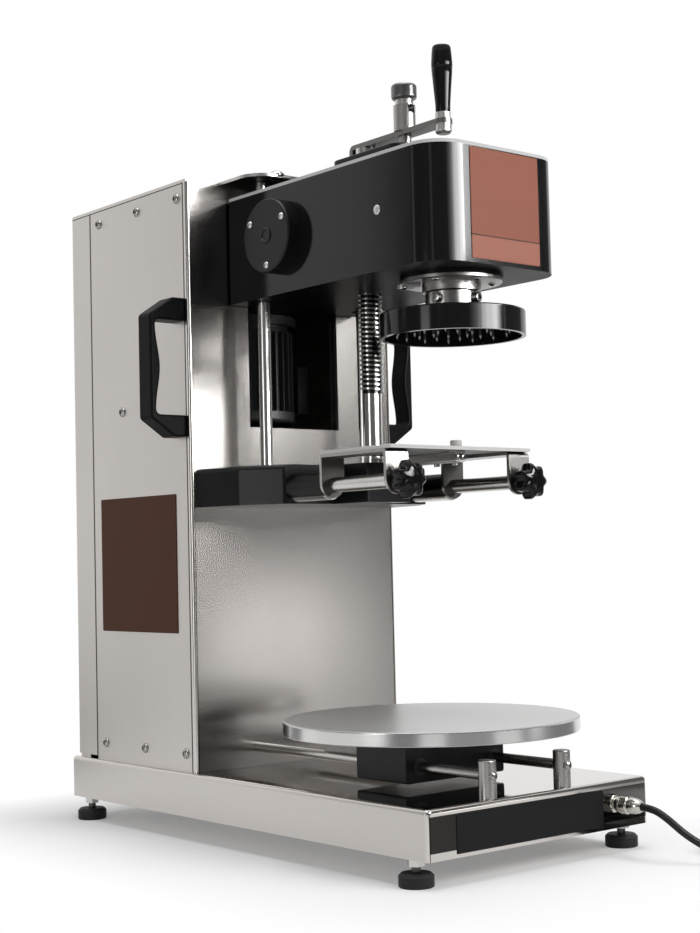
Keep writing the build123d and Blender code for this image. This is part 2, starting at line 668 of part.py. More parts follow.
with BuildPart() as spikes:
    for count, circle in ((6, 24), (10, 46), (14, 68)):
        for index in range(count):
            turn = 2 * pi * index / count
            x = circle * cos(turn)
            y = SPINDLE_Y + circle * sin(turn)
            bar_z(x, y, SPIKE_RADIUS, ring_top - ring_web - SPIKE_LENGTH + 4, ring_top - ring_web)
            with Locations((x, y, ring_top - ring_web - SPIKE_LENGTH)):
                Cone(0.3, SPIKE_RADIUS, 4, align=UP)
save(spikes, "spikes")

# Motor: hangs from the neck of the head inside the column, with upright cooling fins.
with BuildPart() as motor_body:
    bar_z(0, MOTOR_Y, 62, HEAD_BOTTOM - 12, HEAD_BOTTOM)
    bar_z(0, MOTOR_Y, MOTOR_RADIUS - 7, MOTOR_BOTTOM + 16, HEAD_BOTTOM - 12)
    with BuildSketch(Plane.XY.offset(MOTOR_BOTTOM + 16)):
        with Locations((0, MOTOR_Y)):
            with PolarLocations(MOTOR_RADIUS - 5, MOTOR_FINS):
                Rectangle(10, 2.4)
    extrude(amount=110)
    bar_z(0, MOTOR_Y, 12, MOTOR_BOTTOM + 16, HEAD_BOTTOM, Mode.SUBTRACT)
save(motor_body, "motor_body")

with BuildPart() as motor_end_bell:
    bar_z(0, MOTOR_Y, MOTOR_RADIUS + 1, MOTOR_BOTTOM, MOTOR_BOTTOM + 16)
    fillet(motor_end_bell.edges().group_by(Axis.Z)[0], 6)
    bar_z(0, MOTOR_Y, MOTOR_SHAFT + RUN, MOTOR_BOTTOM + 6, MOTOR_BOTTOM + 16, Mode.SUBTRACT)
save(motor_end_bell, "motor_end_bell")

with BuildPart() as terminal_box:
    box_low = MOTOR_BOTTOM + 15
    block(MOTOR_RADIUS + 1.3, MOTOR_RADIUS + 19, MOTOR_Y - 28, MOTOR_Y + 28, box_low, box_low + 69)
    fillet(terminal_box.edges().filter_by(Axis.X), 4)
save(terminal_box, "terminal_box")

with BuildPart() as motor_shaft:
    bar_z(0, MOTOR_Y, MOTOR_SHAFT, MOTOR_BOTTOM + 6.5, shaft_top)
    chamfer(motor_shaft.edges().group_by(Axis.Z)[-1], 1)
save(motor_shaft, "motor_shaft")

# Blade table: a plate on two bent brackets that slide over the blade rods, held by star knobs.
rod_back = BRACKET_FRONT + 40
rod_front = BLADE_PLATE_FRONT + 6
leg_back = BLADE_PLATE_BACK - 2
for side, name in ((-1, "blade_rod_left"), (1, "blade_rod_right")):
    with BuildPart() as blade_rod:
        bar_y(side * BLADE_ROD_X, BLADE_ROD_Z, BLADE_ROD_SHOULDER, BRACKET_FRONT, leg_back)
        chamfer(blade_rod.edges().filter_by(GeomType.CIRCLE), 1)
        bar_y(side * BLADE_ROD_X, BLADE_ROD_Z, BLADE_ROD_RADIUS, rod_back, rod_front)
        bar_y(side * BLADE_ROD_X, BLADE_ROD_Z, 5 + RUN, rod_front, rod_front + 22, Mode.SUBTRACT)
    save(blade_rod, name)

with BuildPart() as blade_plate:
    half_plate = BLADE_PLATE_WIDTH / 2
    block(-half_plate, half_plate, BLADE_PLATE_FRONT, BLADE_PLATE_BACK, BLADE_PLATE_BOTTOM, plate_top)
    block(-4, 7, SPINDLE_Y + 14, SPINDLE_Y + 92, BLADE_PLATE_BOTTOM, plate_top, Mode.SUBTRACT)
    bar_z(0, SPINDLE_Y, STUB_RADIUS, plate_top, stub_top)
    chamfer(blade_plate.faces().sort_by(Axis.Z)[-1].edges(), 1)
save(blade_plate, "blade_plate")

with BuildPart() as blade:
    block(-1, 24, SPINDLE_Y + 10, SPINDLE_Y + 96, BLADE_PLATE_BOTTOM - 1.5, BLADE_PLATE_BOTTOM)
    chamfer(blade.edges().filter_by(Axis.Y).group_by(Axis.X)[0].sort_by(Axis.Z)[0], 1.2)
save(blade, "blade")

with BuildPart() as blade_holder:
    block(8, 24, SPINDLE_Y + 10, SPINDLE_Y + 96, BLADE_PLATE_BOTTOM - 13, BLADE_PLATE_BOTTOM - 1.5)
    fillet(blade_holder.edges().filter_by(Axis.Y).group_by(Axis.Z)[0], 3)
save(blade_holder, "blade_holder")

for side, name in ((-1, "blade_bracket_left"), (1, "blade_bracket_right")):
    with BuildPart() as blade_bracket:
        leg_low = BLADE_ROD_Z - CLAMP_BELOW
        with BuildSketch(Plane.YZ.offset(side * BLADE_ROD_X - CLAMP_WIDTH / 2)):
            with BuildLine():
                Polyline(
                    (leg_back, leg_low),
                    (leg_back, BLADE_PLATE_BOTTOM),
                    (rod_front, BLADE_PLATE_BOTTOM),
                    (rod_front, leg_low),
                    (rod_front + CLAMP_WALL, leg_low),
                    (rod_front + CLAMP_WALL, BLADE_PLATE_BOTTOM - CLAMP_WALL),
                    (leg_back - CLAMP_WALL, BLADE_PLATE_BOTTOM - CLAMP_WALL),
                    (leg_back - CLAMP_WALL, leg_low),
                    close=True,
                )
            make_face()
        extrude(amount=CLAMP_WIDTH)
        edges = blade_bracket.edges()
        fillet(edges.filter_by(Axis.X).group_by(Axis.Z)[-1], 6)
        fillet(blade_bracket.edges().filter_by(Axis.Y).group_by(Axis.Z)[0], CLAMP_WIDTH / 2 - 0.1)
        bar_y(side * BLADE_ROD_X, BLADE_ROD_Z, BLADE_ROD_RADIUS + SEAT, leg_back, rod_front, Mode.SUBTRACT)
    save(blade_bracket, name)

# Star knobs: lobed heads with a boss and a threaded stud.
for side, name in ((-1, "knob_left"), (1, "knob_right")):
    with BuildPart() as knob:
        x = side * BLADE_ROD_X
        head_back = rod_front - 12
        with BuildSketch(Plane.XZ.offset(-head_back)):
            with Locations((x, BLADE_ROD_Z)):
                Circle(KNOB_RADIUS - 5)
                with PolarLocations(KNOB_RADIUS - 6.5, KNOB_LOBES):
                    Circle(6.5)
        extrude(amount=19)
        fillet(knob.faces().sort_by(Axis.Y)[0].edges(), 3)
        bar_y(x, BLADE_ROD_Z, 13, rod_front - 0.3, head_back)
        bar_y(x, BLADE_ROD_Z, 5, rod_front + 20, rod_front - 0.3)
    save(knob, name)

# Turntable: a disc on a carriage that slides on two rails between the column and two posts.
with BuildPart() as rails:
    for x in RAIL_X:
        bar_y(x, RAIL_Z, RAIL_RADIUS, COLUMN_FRONT, POST_Y - POST_RADIUS)
save(rails, "rails")

with BuildPart() as rail_posts:
    for x in RAIL_X:
        bar_z(x, POST_Y, POST_RADIUS, base_top, POST_TOP)
    fillet(rail_posts.edges().group_by(Axis.Z)[-1], 1.5)
    for x in RAIL_X:
        bar_y(x, RAIL_Z, RAIL_RADIUS + SEAT, POST_Y + POST_RADIUS, POST_Y - POST_RADIUS, Mode.SUBTRACT)
save(rail_posts, "rail_posts")

carriage_back = CARRIAGE_FRONT + CARRIAGE_DEPTH
bush_radius = RAIL_RADIUS + 4
with BuildPart() as carriage:
    block(*CARRIAGE_X, CARRIAGE_FRONT, carriage_back, CARRIAGE_BOTTOM, CARRIAGE_TOP)
    fillet(carriage.edges().filter_by(Axis.Y), 3)
    for x in RAIL_X:
        bar_y(x, RAIL_Z, bush_radius, carriage_back, CARRIAGE_FRONT, Mode.SUBTRACT)
    bar_z(TABLE_X, TABLE_Y, 10 + RUN, CARRIAGE_BOTTOM + 6, CARRIAGE_TOP, Mode.SUBTRACT)
save(carriage, "carriage")

with BuildPart() as carriage_bushes:
    for x in RAIL_X:
        for y0, y1 in ((carriage_back, carriage_back - 30), (CARRIAGE_FRONT + 30, CARRIAGE_FRONT)):
            bar_y(x, RAIL_Z, bush_radius - SEAT, y0, y1)
            bar_y(x, RAIL_Z, RAIL_RADIUS + RUN, y0, y1, Mode.SUBTRACT)
save(carriage_bushes, "carriage_bushes")

table_bottom = TABLE_TOP - TABLE_THICK
with BuildPart() as turntable_bearing:
    bar_z(TABLE_X, TABLE_Y, 42, CARRIAGE_TOP, table_bottom - LOOSE)
    bar_z(TABLE_X, TABLE_Y, 10 + RUN, CARRIAGE_TOP, table_bottom, Mode.SUBTRACT)
save(turntable_bearing, "turntable_bearing")

with BuildPart() as turntable:
    bar_z(TABLE_X, TABLE_Y, TABLE_RADIUS, table_bottom, TABLE_TOP)
    fillet(turntable.edges().group_by(Axis.Z)[-1], 2)
    chamfer(turntable.edges().group_by(Axis.Z)[0], 1)
    bar_z(TABLE_X, TABLE_Y, 10, CARRIAGE_BOTTOM + 6.5, table_bottom)
save(turntable, "turntable")

# Cable gland: lock ring, hexagon body and domed cap around the lead.
gland_tip = base_front - GLAND_LENGTH
with BuildPart() as cable_gland:
    bar_y(GLAND_X, GLAND_Z, 11, base_front, base_front - 4)
    with BuildSketch(Plane.XZ.offset(-base_front + 4)):
        with Locations((GLAND_X, GLAND_Z)):
            RegularPolygon(10, 6, major_radius=False)
    extrude(amount=9)
    bar_y(GLAND_X, GLAND_Z, 8.5, base_front - 13, base_front - 18)
    bar_y(GLAND_X, GLAND_Z, 9.8, base_front - 18, gland_tip)
    tip = cable_gland.edges().filter_by(GeomType.CIRCLE).group_by(Axis.Y)[0]
    fillet(tip, 4)
    bar_y(GLAND_X, GLAND_Z, lead_radius + LOOSE, gland_tip + GLAND_RECESS, gland_tip, Mode.SUBTRACT)
save(cable_gland, "cable_gland")

# Mains lead: out of the gland, down to the floor and away to the right, then wound up flat in two layers.
floor_z = lead_radius + COIL_LIFT
lead_points = [
    (GLAND_X, gland_tip + GLAND_RECESS, GLAND_Z),
    (GLAND_X, gland_tip - 14, GLAND_Z),
    (GLAND_X + 1.3, gland_tip - 34, GLAND_Z - 9),
    (GLAND_X + 8, gland_tip - 53, GLAND_Z - 25.5),
    (GLAND_X + 22, gland_tip - 71, GLAND_Z - 40),
    (GLAND_X + 42, gland_tip - 87, GLAND_Z - 51),
    (GLAND_X + 66, gland_tip - 101, floor_z),
    (GLAND_X + 90, gland_tip - 114, floor_z),
]


def bend_radii(points):
    """Largest smooth radius at each inner point of a route."""
    radii = []
    for before, here, after in zip(points, points[1:], points[2:]):
        first = Vector(*here) - Vector(*before)
        second = Vector(*after) - Vector(*here)
        half_turn = radians(first.get_angle(second)) / 2
        radii.append(0.45 * min(first.length, second.length) / tan(half_turn))
    return radii


lead_bends = bend_radii(lead_points)
with BuildPart() as mains_lead:
    with BuildLine() as lead_route:
        FilletPolyline(*lead_points, radius=lead_bends)
    with BuildSketch(Plane(lead_points[0], z_dir=(0, -1, 0))):
        Circle(lead_radius)
    sweep()
save(mains_lead, "mains_lead")
free_length = lead_route.wires()[0].length

# Coil: half turns that wind inwards on the floor, one that climbs, and half turns that wind out again on top.
heading = (Vector(*lead_points[-1]) - Vector(*lead_points[-2])).normalized()
across = Vector(-heading.Y, heading.X, 0)
coil_start = Vector(*lead_points[-1])
inward = [COIL_OUTER - COIL_PITCH / 2 * step for step in range(COIL_HALF_TURNS)]
climb = COIL_OUTER - COIL_PITCH / 2 * COIL_HALF_TURNS
with BuildPart() as lead_coil:
    with BuildLine() as coil_route:
        here = coil_start + heading * LEAD_DIAMETER
        coil_entry = here
        Line(coil_start, here)
        way = heading
        side_way = across
        for step, turn_radius in enumerate(inward + [climb] + inward[:0:-1]):
            there = here + side_way * (2 * turn_radius)
            if step == COIL_HALF_TURNS:
                there = there + Vector(0, 0, COIL_PITCH)
            TangentArc(here, there, tangent=way)
            here = there
            way = way * -1
            side_way = side_way * -1
        coil_end = here + way * LEAD_END
        Line(here, coil_end)
    with BuildSketch(Plane(coil_start, z_dir=heading)):
        Circle(lead_radius)
    sweep()
save(lead_coil, "lead_coil")
coil_length = coil_route.wires()[0].length

# Tie: a strap round the six turns on the far side of the coil.
tie_centre = coil_entry + across * COIL_OUTER
with BuildPart() as coil_tie:
    tie_frame = Plane(tie_centre - Vector(0, 0, tie_centre.Z), x_dir=-heading, z_dir=across)
    low_radius = inward[-1] - lead_radius - 2
    high_radius = inward[1] + lead_radius + 0.4
    stack = COIL_PITCH + LEAD_DIAMETER
    with BuildSketch(tie_frame.offset(-5)):
        with Locations(((low_radius + high_radius) / 2, COIL_LIFT - 0.15 + (stack + 0.3) / 2)):
            RectangleRounded(high_radius - low_radius + 2, stack + 2.3, 2)
            RectangleRounded(high_radius - low_radius, stack + 0.3, 1, mode=Mode.SUBTRACT)
    extrude(amount=10)
save(coil_tie, "coil_tie")

# Plug: moulded body with flat sides and two round pins, lying on the floor.
with BuildPart() as mains_plug:
    with BuildSketch(Plane(coil_end, x_dir=across, z_dir=heading)):
        Circle(7)
    extrude(amount=16)
    with BuildSketch(Plane(coil_end + heading * 16, x_dir=across, z_dir=heading)):
        RectangleRounded(36, 2 * coil_end.Z - 0.4, 9)
    extrude(amount=36)
    pin_face = coil_end + heading * 52
    for offset_x in (-9.5, 9.5):
        with BuildSketch(Plane(pin_face + across * offset_x, x_dir=across, z_dir=heading)):
            Circle(2.4)
        extrude(amount=19)
save(mains_plug, "mains_plug")


def coil_gap():
    """Least clear distance between turns, measured on points along the route."""
    wire = coil_route.wires()[0]
    count = 900
    samples = [wire.position_at(step / count) for step in range(count + 1)]
    spacing = coil_length / count
    skip = int(40 / spacing)
    least = min(
        (samples[i] - samples[j]).length
        for i in range(0, count, 3)
        for j in range(i + skip, count + 1, 2)
    )
    return least - LEAD_DIAMETER


section = pi * lead_radius ** 2
print("lead bends", [round(value) for value in lead_bends])
print("free lead", round(free_length), "coil", round(coil_length), "total", round(free_length + coil_length))
print("lead volume ratio", round(mains_lead.part.volume / (section * free_length), 4))
print("coil volume ratio", round(lead_coil.part.volume / (section * coil_length), 4))
print("least gap between turns", round(coil_gap(), 2))
print("head travel", round(head_travel, 3), "crank turns", round(lift_turns, 3))
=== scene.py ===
"""Looks of a bench machine that shaves chocolate onto a cake."""
from math import cos, pi, radians, sin

import bmesh
import bpy
from bpy.props import FloatProperty, FloatVectorProperty, IntProperty, PointerProperty
from mathutils import Matrix, Vector


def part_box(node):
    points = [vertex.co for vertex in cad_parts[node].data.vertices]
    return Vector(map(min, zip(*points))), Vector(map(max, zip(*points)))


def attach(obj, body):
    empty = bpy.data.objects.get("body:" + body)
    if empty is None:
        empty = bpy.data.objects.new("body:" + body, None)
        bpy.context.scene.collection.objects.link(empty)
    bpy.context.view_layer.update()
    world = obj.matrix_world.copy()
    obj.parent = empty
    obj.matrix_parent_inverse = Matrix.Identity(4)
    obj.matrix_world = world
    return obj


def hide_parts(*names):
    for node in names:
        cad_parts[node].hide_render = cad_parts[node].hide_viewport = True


bl_info = {
    "name": "Chocolate shaving machine",
    "version": (1, 0, 0),
    "blender": (4, 5, 0),
    "location": "View3D > Sidebar > Shaver",
    "description": "Dresses a bench chocolate shaving machine and its studio",
    "category": "Object",
}

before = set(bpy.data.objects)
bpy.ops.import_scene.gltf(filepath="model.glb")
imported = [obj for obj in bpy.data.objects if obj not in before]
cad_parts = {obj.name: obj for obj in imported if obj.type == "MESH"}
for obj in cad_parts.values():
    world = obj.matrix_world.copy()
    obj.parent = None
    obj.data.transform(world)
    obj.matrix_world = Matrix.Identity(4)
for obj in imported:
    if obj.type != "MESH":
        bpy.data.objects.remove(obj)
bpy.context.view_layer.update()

UP = Vector((0.0, 0.0, 1.0))
LEFT = Vector((-1.0, 0.0, 0.0))
FRONT = Vector((0.0, -1.0, 0.0))
WHITE = (1.0, 1.0, 1.0)

# Axes of the machine in metres
SPINDLE_Y = -0.2416
SCREW_Y = -0.09
ROD_X, ROD_Z = 0.0995, 0.44
COVER_Y, COVER_Z = -0.038, 0.757
GLAND_X, GLAND_Z = 0.113, 0.06

# Lead screw: radii and heights of its thread
THREAD_CORE, THREAD_CREST = 0.01175, 0.015
THREAD_BOTTOM, THREAD_TOP = 0.559, 0.835

# Grain of sheet and bars: cycles per metre along x, y and z
SHEET_UPRIGHT = (420.0, 420.0, 3.0)
SHEET_ALONG = (420.0, 3.0, 420.0)
PLATE_ALONG = (420.0, 5.0, 420.0)
PANEL_LEVEL = (3.0, 3.0, 900.0)
BAR_UPRIGHT = (40.0, 40.0, 900.0)
BAR_LEVEL = (40.0, 900.0, 40.0)
PIN_LINES = (60.0, 60.0, 700.0)

# Mains lead: points of its free run, then a flat coil in two layers
LEAD_ROUTE = (
    (0.113, -0.4085, 0.06), (0.113, -0.4285, 0.06), (0.1143, -0.4485, 0.051),
    (0.121, -0.4675, 0.0345), (0.135, -0.4855, 0.02), (0.155, -0.5015, 0.009),
    (0.179, -0.5155, 0.0056), (0.203, -0.5285, 0.0056),
)
COIL_ENTRY = Vector((0.21047, -0.53255, 0.0056))
COIL_HEADING = Vector((0.8793, -0.4763, 0.0))
COIL_ACROSS = Vector((0.4763, 0.8793, 0.0))
COIL_RADIUS, COIL_PITCH = 0.058, 0.0046
COIL_HALF_TURNS, COIL_CROSSING = 12, 6
COIL_STEPS = 6
COIL_CLIMB = 0.0092
COIL_TAIL = 0.062

# What reflections show: wall (two turns in degrees, low, high, tone), mats (two turns, near, far,
# tone) and the strips of the key's diffuser card (left, right, low, high, tone)
SCREEN_REACH = 3.0
SCREEN_WALL = (
    (95, 137, 0, 2.6, 0.16), (137, 139.6, 0, 0.42, 0.7), (137, 138, 0.42, 2.6, 0.16),
    (138, 139.6, 0.42, 0.8, 0.16), (138, 139.6, 0.8, 1.16, 2.4), (138, 139.6, 1.16, 2.6, 0.16),
    (139.6, 147.5, 0.29, 2.6, 0.16), (140, 145.5, 0.04, 0.22, 3), (145.5, 147.5, 0, 0.29, 0.7),
    (147.5, 237, 0, 2.6, 0.16), (237, 242, 0, 1.12, 0.16), (242, 297, 0, 2.6, 0.16),
    (297, 303, 0, 1.1, 0.16), (303, 314, 0, 2.6, 0.16),
)
MAT_HEIGHT = 0.004
SCREEN_MATS = (
    (95, 131, 0.85, 3, 0.27), (131, 150, 0.85, 1.65, 0.4), (131, 137, 1.65, 3, 0.4),
    (150, 159, 0.85, 3, 0.4), (178, 209, 0.85, 3, 0.42), (225, 246, 0.85, 3, 0.26),
    (329, 350, 0.85, 3, 0.2),
)
CARD_PLACE = Vector((0.4545, -1.5149, 0.9226))
CARD_ACROSS = Vector((0.944, 0.33, 0.0)) * 0.435
CARD_UP = UP * 0.32
CARD_STRIPS = (
    (-2.2, -1.8, -1, 1, 1), (-1.8, -1.4, -1, 1, 2.5), (-1.4, -1, -1, 1, 6), (-1, -0.6, -1, 1, 16),
    (-0.6, 0, -1, 1, 22), (0, 0.5, -1, 0.05, 26), (0.5, 0.75, -1, 0.05, 13), (0.75, 0.9, -1, 0.05, 4),
    (0, 0.5, 0.05, 1, 31), (0.5, 0.85, 0.05, 1, 41), (0.85, 1.14, 0.05, 1, 33),
)


def maths(operation, flipped=False):
    """Return a method that makes a Math node of its terms."""
    def method(self, *others):
        terms = (*others, self) if flipped else (self, *others)
        return self.graph.node("ShaderNodeMath", dict(enumerate(terms)), operation=operation)
    return method


class Value:
    """A node socket whose arithmetic makes Math nodes."""

    def __init__(self, graph, socket):
        self.graph = graph
        self.socket = socket

    __add__ = __radd__ = maths("ADD")
    __sub__ = maths("SUBTRACT")
    __rsub__ = maths("SUBTRACT", flipped=True)
    __mul__ = __rmul__ = maths("MULTIPLY")
    __truediv__ = maths("DIVIDE")
    __lt__ = maths("LESS_THAN")
    __gt__ = maths("GREATER_THAN")
    __abs__ = maths("ABSOLUTE")
    root = maths("SQRT")
    at_least = maths("MAXIMUM")
    at_most = maths("MINIMUM")


class Graph:
    """A node tree that is put together node by node."""

    def __init__(self, tree):
        self.tree = tree

    def node(self, kind, sockets=None, output=0, **settings):
        made = self.tree.nodes.new(kind)
        for name, value in settings.items():
            setattr(made, name, value)
        for key, value in (sockets or {}).items():
            if isinstance(value, Value):
                self.tree.links.new(value.socket, made.inputs[key])
            else:
                made.inputs[key].default_value = value
        return Value(self, made.outputs[output])

    def vector(self, x, y, z):
        return self.node("ShaderNodeCombineXYZ", {0: x, 1: y, 2: z})

    def ray(self, kind):
        return self.node("ShaderNodeLightPath", output=kind)


class Finish(Graph):
    """A surface material in metres of the object's own space."""

    def __init__(self, name):
        self.material = bpy.data.materials.new(name)
        self.material.use_nodes = True
        super().__init__(self.material.node_tree)
        self.tree.nodes.clear()
        self.place = self.node("ShaderNodeTexCoord", output=3)

    def axis(self, index):
        return self.node("ShaderNodeSeparateXYZ", {0: self.place}, index)

    def radius(self, x, y):
        """Return the distance from an upright axis."""
        across, along = self.axis(0) - x, self.axis(1) - y
        return (across * across + along * along).root()

    def noise(self, scale, detail=3.0, roughness=0.55, along=None):
        """Return noise with an even scale (a number) or a stretched one (x, y, z)."""
        if isinstance(scale, float):
            scale = (scale, scale, scale)
        stretched = self.node(
            "ShaderNodeVectorMath", {0: along or self.place, 1: scale}, operation="MULTIPLY"
        )
        return self.node(
            "ShaderNodeTexNoise",
            {"Vector": stretched, "Scale": 1.0, "Detail": detail, "Roughness": roughness},
        )

    def spread(self, value, low, high):
        return self.node("ShaderNodeMapRange", {0: value, 1: low, 2: high})

    def edges(self, width):
        rounded = self.node("ShaderNodeBevel", {"Radius": width})
        flat = self.node("ShaderNodeNewGeometry", output=1)
        facing = self.node("ShaderNodeVectorMath", {0: rounded, 1: flat}, 1, operation="DOT_PRODUCT")
        return self.spread(facing, 0.995, 0.8)

    def blend(self, factor, first, second, way="MIX"):
        colours = {0: factor, 6: rgba(first), 7: rgba(second)}
        return self.node("ShaderNodeMix", colours, 2, data_type="RGBA", blend_type=way)

    def shade(self, colour, tone):
        return self.blend(1.0, colour, tone, "MULTIPLY")

    def bump(self, height, distance):
        return self.node("ShaderNodeBump", {"Distance": distance, "Height": height})

    def surface(self, shader):
        target = self.tree.nodes.new("ShaderNodeOutputMaterial")
        self.tree.links.new(shader.socket, target.inputs["Surface"])
        return self.material

    def done(self, **sockets):
        named = {key.replace("_", " "): value for key, value in sockets.items()}
        return self.surface(self.node("ShaderNodeBsdfPrincipled", named))

    def metal(self, colour, tone, roughness, relief, depth=0.000004, metallic=1.0):
        return self.done(
            Base_Color=self.shade(colour, tone),
            Metallic=metallic,
            Roughness=roughness,
            Normal=self.bump(relief, depth),
        )


def rgba(colour):
    return colour if isinstance(colour, Value) else (*colour, 1.0)


def grey(tone):
    return (tone, tone, tone)


def rolled(f, grain):
    """Return the streaks, smudges, polished bends and tone of rolled sheet."""
    streaks = f.noise(grain, 4.0, 0.7)
    smudges = f.noise((6.0, 6.0, 4.0))
    worn = f.edges(0.0016)
    return streaks, smudges, worn, 0.95 + 0.07 * streaks - 0.05 * smudges + 0.12 * worn


def ground(f, grain, stain):
    """Return the fine lines, faint stains and tone of ground metal."""
    lines = f.noise(grain, 2.0, 0.6)
    stains = f.noise(stain, 4.0)
    return lines, stains, 0.9 + 0.14 * lines - 0.1 * stains


def brushed_sheet(name, colour, grain, roughness, depth=0.000004, dark_bands=()):
    """Rolled sheet with dark bands (axis, place, half width): on panels they mark joints and folds, on
    the foot studs they are painted shade.
    """
    f = Finish(name)
    streaks, smudges, worn, tone = rolled(f, grain)
    for axis, place, half in dark_bands:
        tone = tone * (1.0 - 0.85 * (abs(f.axis(axis) - place) < half))
    rough = roughness + 0.05 * streaks + 0.08 * smudges - 0.08 * worn
    return f.metal(colour, tone, rough, streaks, depth)


def base_sheet(name, colour, width, face):
    """Folded tray: satin sides, polished top and, between pale folds, a front band painted dark as a
    reflection, lighter towards +x.
    """
    f = Finish(name)
    streaks, smudges, _, tone = rolled(f, SHEET_ALONG)
    x, y, z = f.axis(0), f.axis(1), f.axis(2)
    side = abs(x) > width / 2.0 - 0.001
    # Painted reflection: the front band is darkened as if it mirrored dark surroundings, lighter towards
    # +x; the smudges in it are dirt.
    front = (y < face + 0.0006) * (z > 0.0385) * (z < 0.0772)
    seam = (y < face + 0.006) * (x < 0.0045 - width / 2.0) * (x > 0.0033 - width / 2.0)
    dark = 0.03 + 0.06 * smudges + 0.22 * f.spread(x, 0.05, 0.2)
    tone = tone * (1.0 - front * (1.0 - dark)) * (1.0 - 0.7 * seam)
    rough = 0.04 + 0.26 * side + 0.02 * streaks + 0.02 * smudges
    return f.metal(colour, tone, rough, streaks, 0.000003)


def bright_bar(name, colour, grain, roughness):
    """Ground bar with fine lines round it and faint stains."""
    f = Finish(name)
    lines, stains, tone = ground(f, grain, 18.0)
    return f.metal(colour, tone, roughness + 0.08 * lines + 0.1 * stains, lines)


def shouldered_bar(name, colour, front, top):
    """Ground bar whose thick shoulder has a painted dark reflection, near black, before a depth and
    above a height.
    """
    f = Finish(name)
    lines, stains, tone = ground(f, BAR_LEVEL, 18.0)
    y, z = f.axis(1), f.axis(2)
    beside, above = abs(f.axis(0)) - ROD_X, z - ROD_Z
    thick = (beside * beside + above * above) > 0.00014
    # Painted reflection: the upper side of the thick shoulder, in front, is darkened as if it mirrored
    # dark surroundings; the strip below stays bright.
    black = thick * (z > top) * (y < front)
    rough = 0.14 + 0.08 * lines + 0.1 * stains + 0.1 * black
    return f.metal(colour, tone * (1.0 - 0.96 * black), rough, lines)


def two_tone(name, colour, other, zone, roughness, grain):
    """Plated metal with a second tone inside a zone (centre x, centre y, radius, least height)."""
    f = Finish(name)
    lines, stains, tone = ground(f, grain, 24.0)
    x, y, reach, least = zone
    inside = (f.radius(x, y) < reach) * (f.axis(2) > least)
    rough = roughness + 0.06 * lines + 0.1 * stains
    return f.metal(f.blend(inside, colour, other), tone + 0.2 * f.edges(0.0008), rough, lines)


def thread_steel(name, colour, root, crest, start):
    """Screw steel with painted shade in the root of the thread above a height."""
    f = Finish(name)
    lines, stains, tone = ground(f, (60.0, 60.0, 500.0), 30.0)
    # Painted shade: the tone falls from the crest to the root of the thread, darkest in the root.
    painted_root_shade = (1.0 - f.spread(f.radius(0.0, SCREW_Y), root, crest)) * (f.axis(2) > start)
    rough = 0.14 + 0.06 * lines + 0.06 * stains
    return f.metal(colour, tone * (1.0 - 0.93 * painted_root_shade), rough, lines, 0.000001)


def turned_disc(name, colour, centre, roughness, rim=1.0, metallic=1.0):
    """Faced metal with fine rings round an upright axis and a polished rim."""
    f = Finish(name)
    radius = f.radius(*centre)
    rings = f.noise((900.0, 1.0, 160.0), 3.0, 0.7, f.vector(radius, 0.0, f.axis(2)))
    stains = f.noise(9.0, 4.0)
    polished = radius > rim
    tone = 0.94 + 0.07 * rings - 0.06 * stains + 0.06 * f.edges(0.0012)
    rough = (roughness + 0.04 * rings + 0.04 * stains) * (1.0 - 0.45 * polished)
    shine = metallic + (1.0 - metallic) * polished
    return f.metal(colour, tone * (1.0 + 0.22 * polished), rough, rings, metallic=shine)


def enamel(name, colour, roughness, coat, peel, gloss=0.22):
    """Paint with orange peel, dust and edges that are rubbed lighter."""
    f = Finish(name)
    dust = f.noise(22.0, 5.0, 0.65)
    worn = f.edges(0.001) * f.spread(dust, 0.35, 0.65)
    pale = [0.03 + 0.5 * part for part in colour]
    return f.done(
        Base_Color=f.blend(0.5 * worn, f.shade(colour, 0.75 + 0.5 * dust), pale),
        Roughness=roughness + 0.1 * dust,
        Specular_IOR_Level=gloss,
        Coat_Weight=coat,
        Coat_Roughness=0.06,
        Normal=f.bump(f.noise(peel, 2.0, 0.5), 0.000006),
    )


def moulding(name, colour, roughness, grain, depth, gloss=0.24):
    """Moulded plastic or rubber with a fine skin and scuffed edges."""
    f = Finish(name)
    scuffs = f.noise(60.0, 4.0, 0.7)
    return f.done(
        Base_Color=f.shade(colour, 0.8 + 0.4 * scuffs + 0.6 * f.edges(0.001)),
        Roughness=roughness + 0.1 * scuffs,
        Specular_IOR_Level=gloss,
        Normal=f.bump(f.noise(grain, 2.0, 0.6), depth),
    )


def cast_metal(name, colour, metallic, roughness):
    """Cast or blasted metal with grains and darker hollows."""
    f = Finish(name)
    grains = f.noise(700.0, 3.0, 0.6)
    clouds = f.noise(30.0, 4.0)
    tone = 0.8 + 0.16 * grains + 0.2 * clouds + 0.3 * f.edges(0.001)
    return f.metal(colour, tone, roughness + 0.12 * clouds, grains, 0.00005, metallic)


def printed_plate(name, colour, band=None, band_top=0.0):
    """Coated plate, with a band under a dark line at its foot if one is given."""
    f = Finish(name)
    fibres = f.noise(500.0, 2.0)
    clouds = f.noise(14.0)
    if band:
        height = f.axis(2)
        line = (height > band_top) * (height < band_top + 0.0016)
        colour = f.blend(height < band_top, colour, band)
        colour = f.blend(line, colour, (0.05, 0.025, 0.02))
    return f.done(
        Base_Color=f.shade(colour, 0.88 + 0.1 * fibres + 0.14 * clouds),
        Roughness=0.42 + 0.12 * clouds,
        Specular_IOR_Level=0.08,
        Normal=f.bump(fibres, 0.000004),
    )


def dress(material, *names):
    for name in names:
        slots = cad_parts[name].data.materials
        slots.clear()
        slots.append(material)


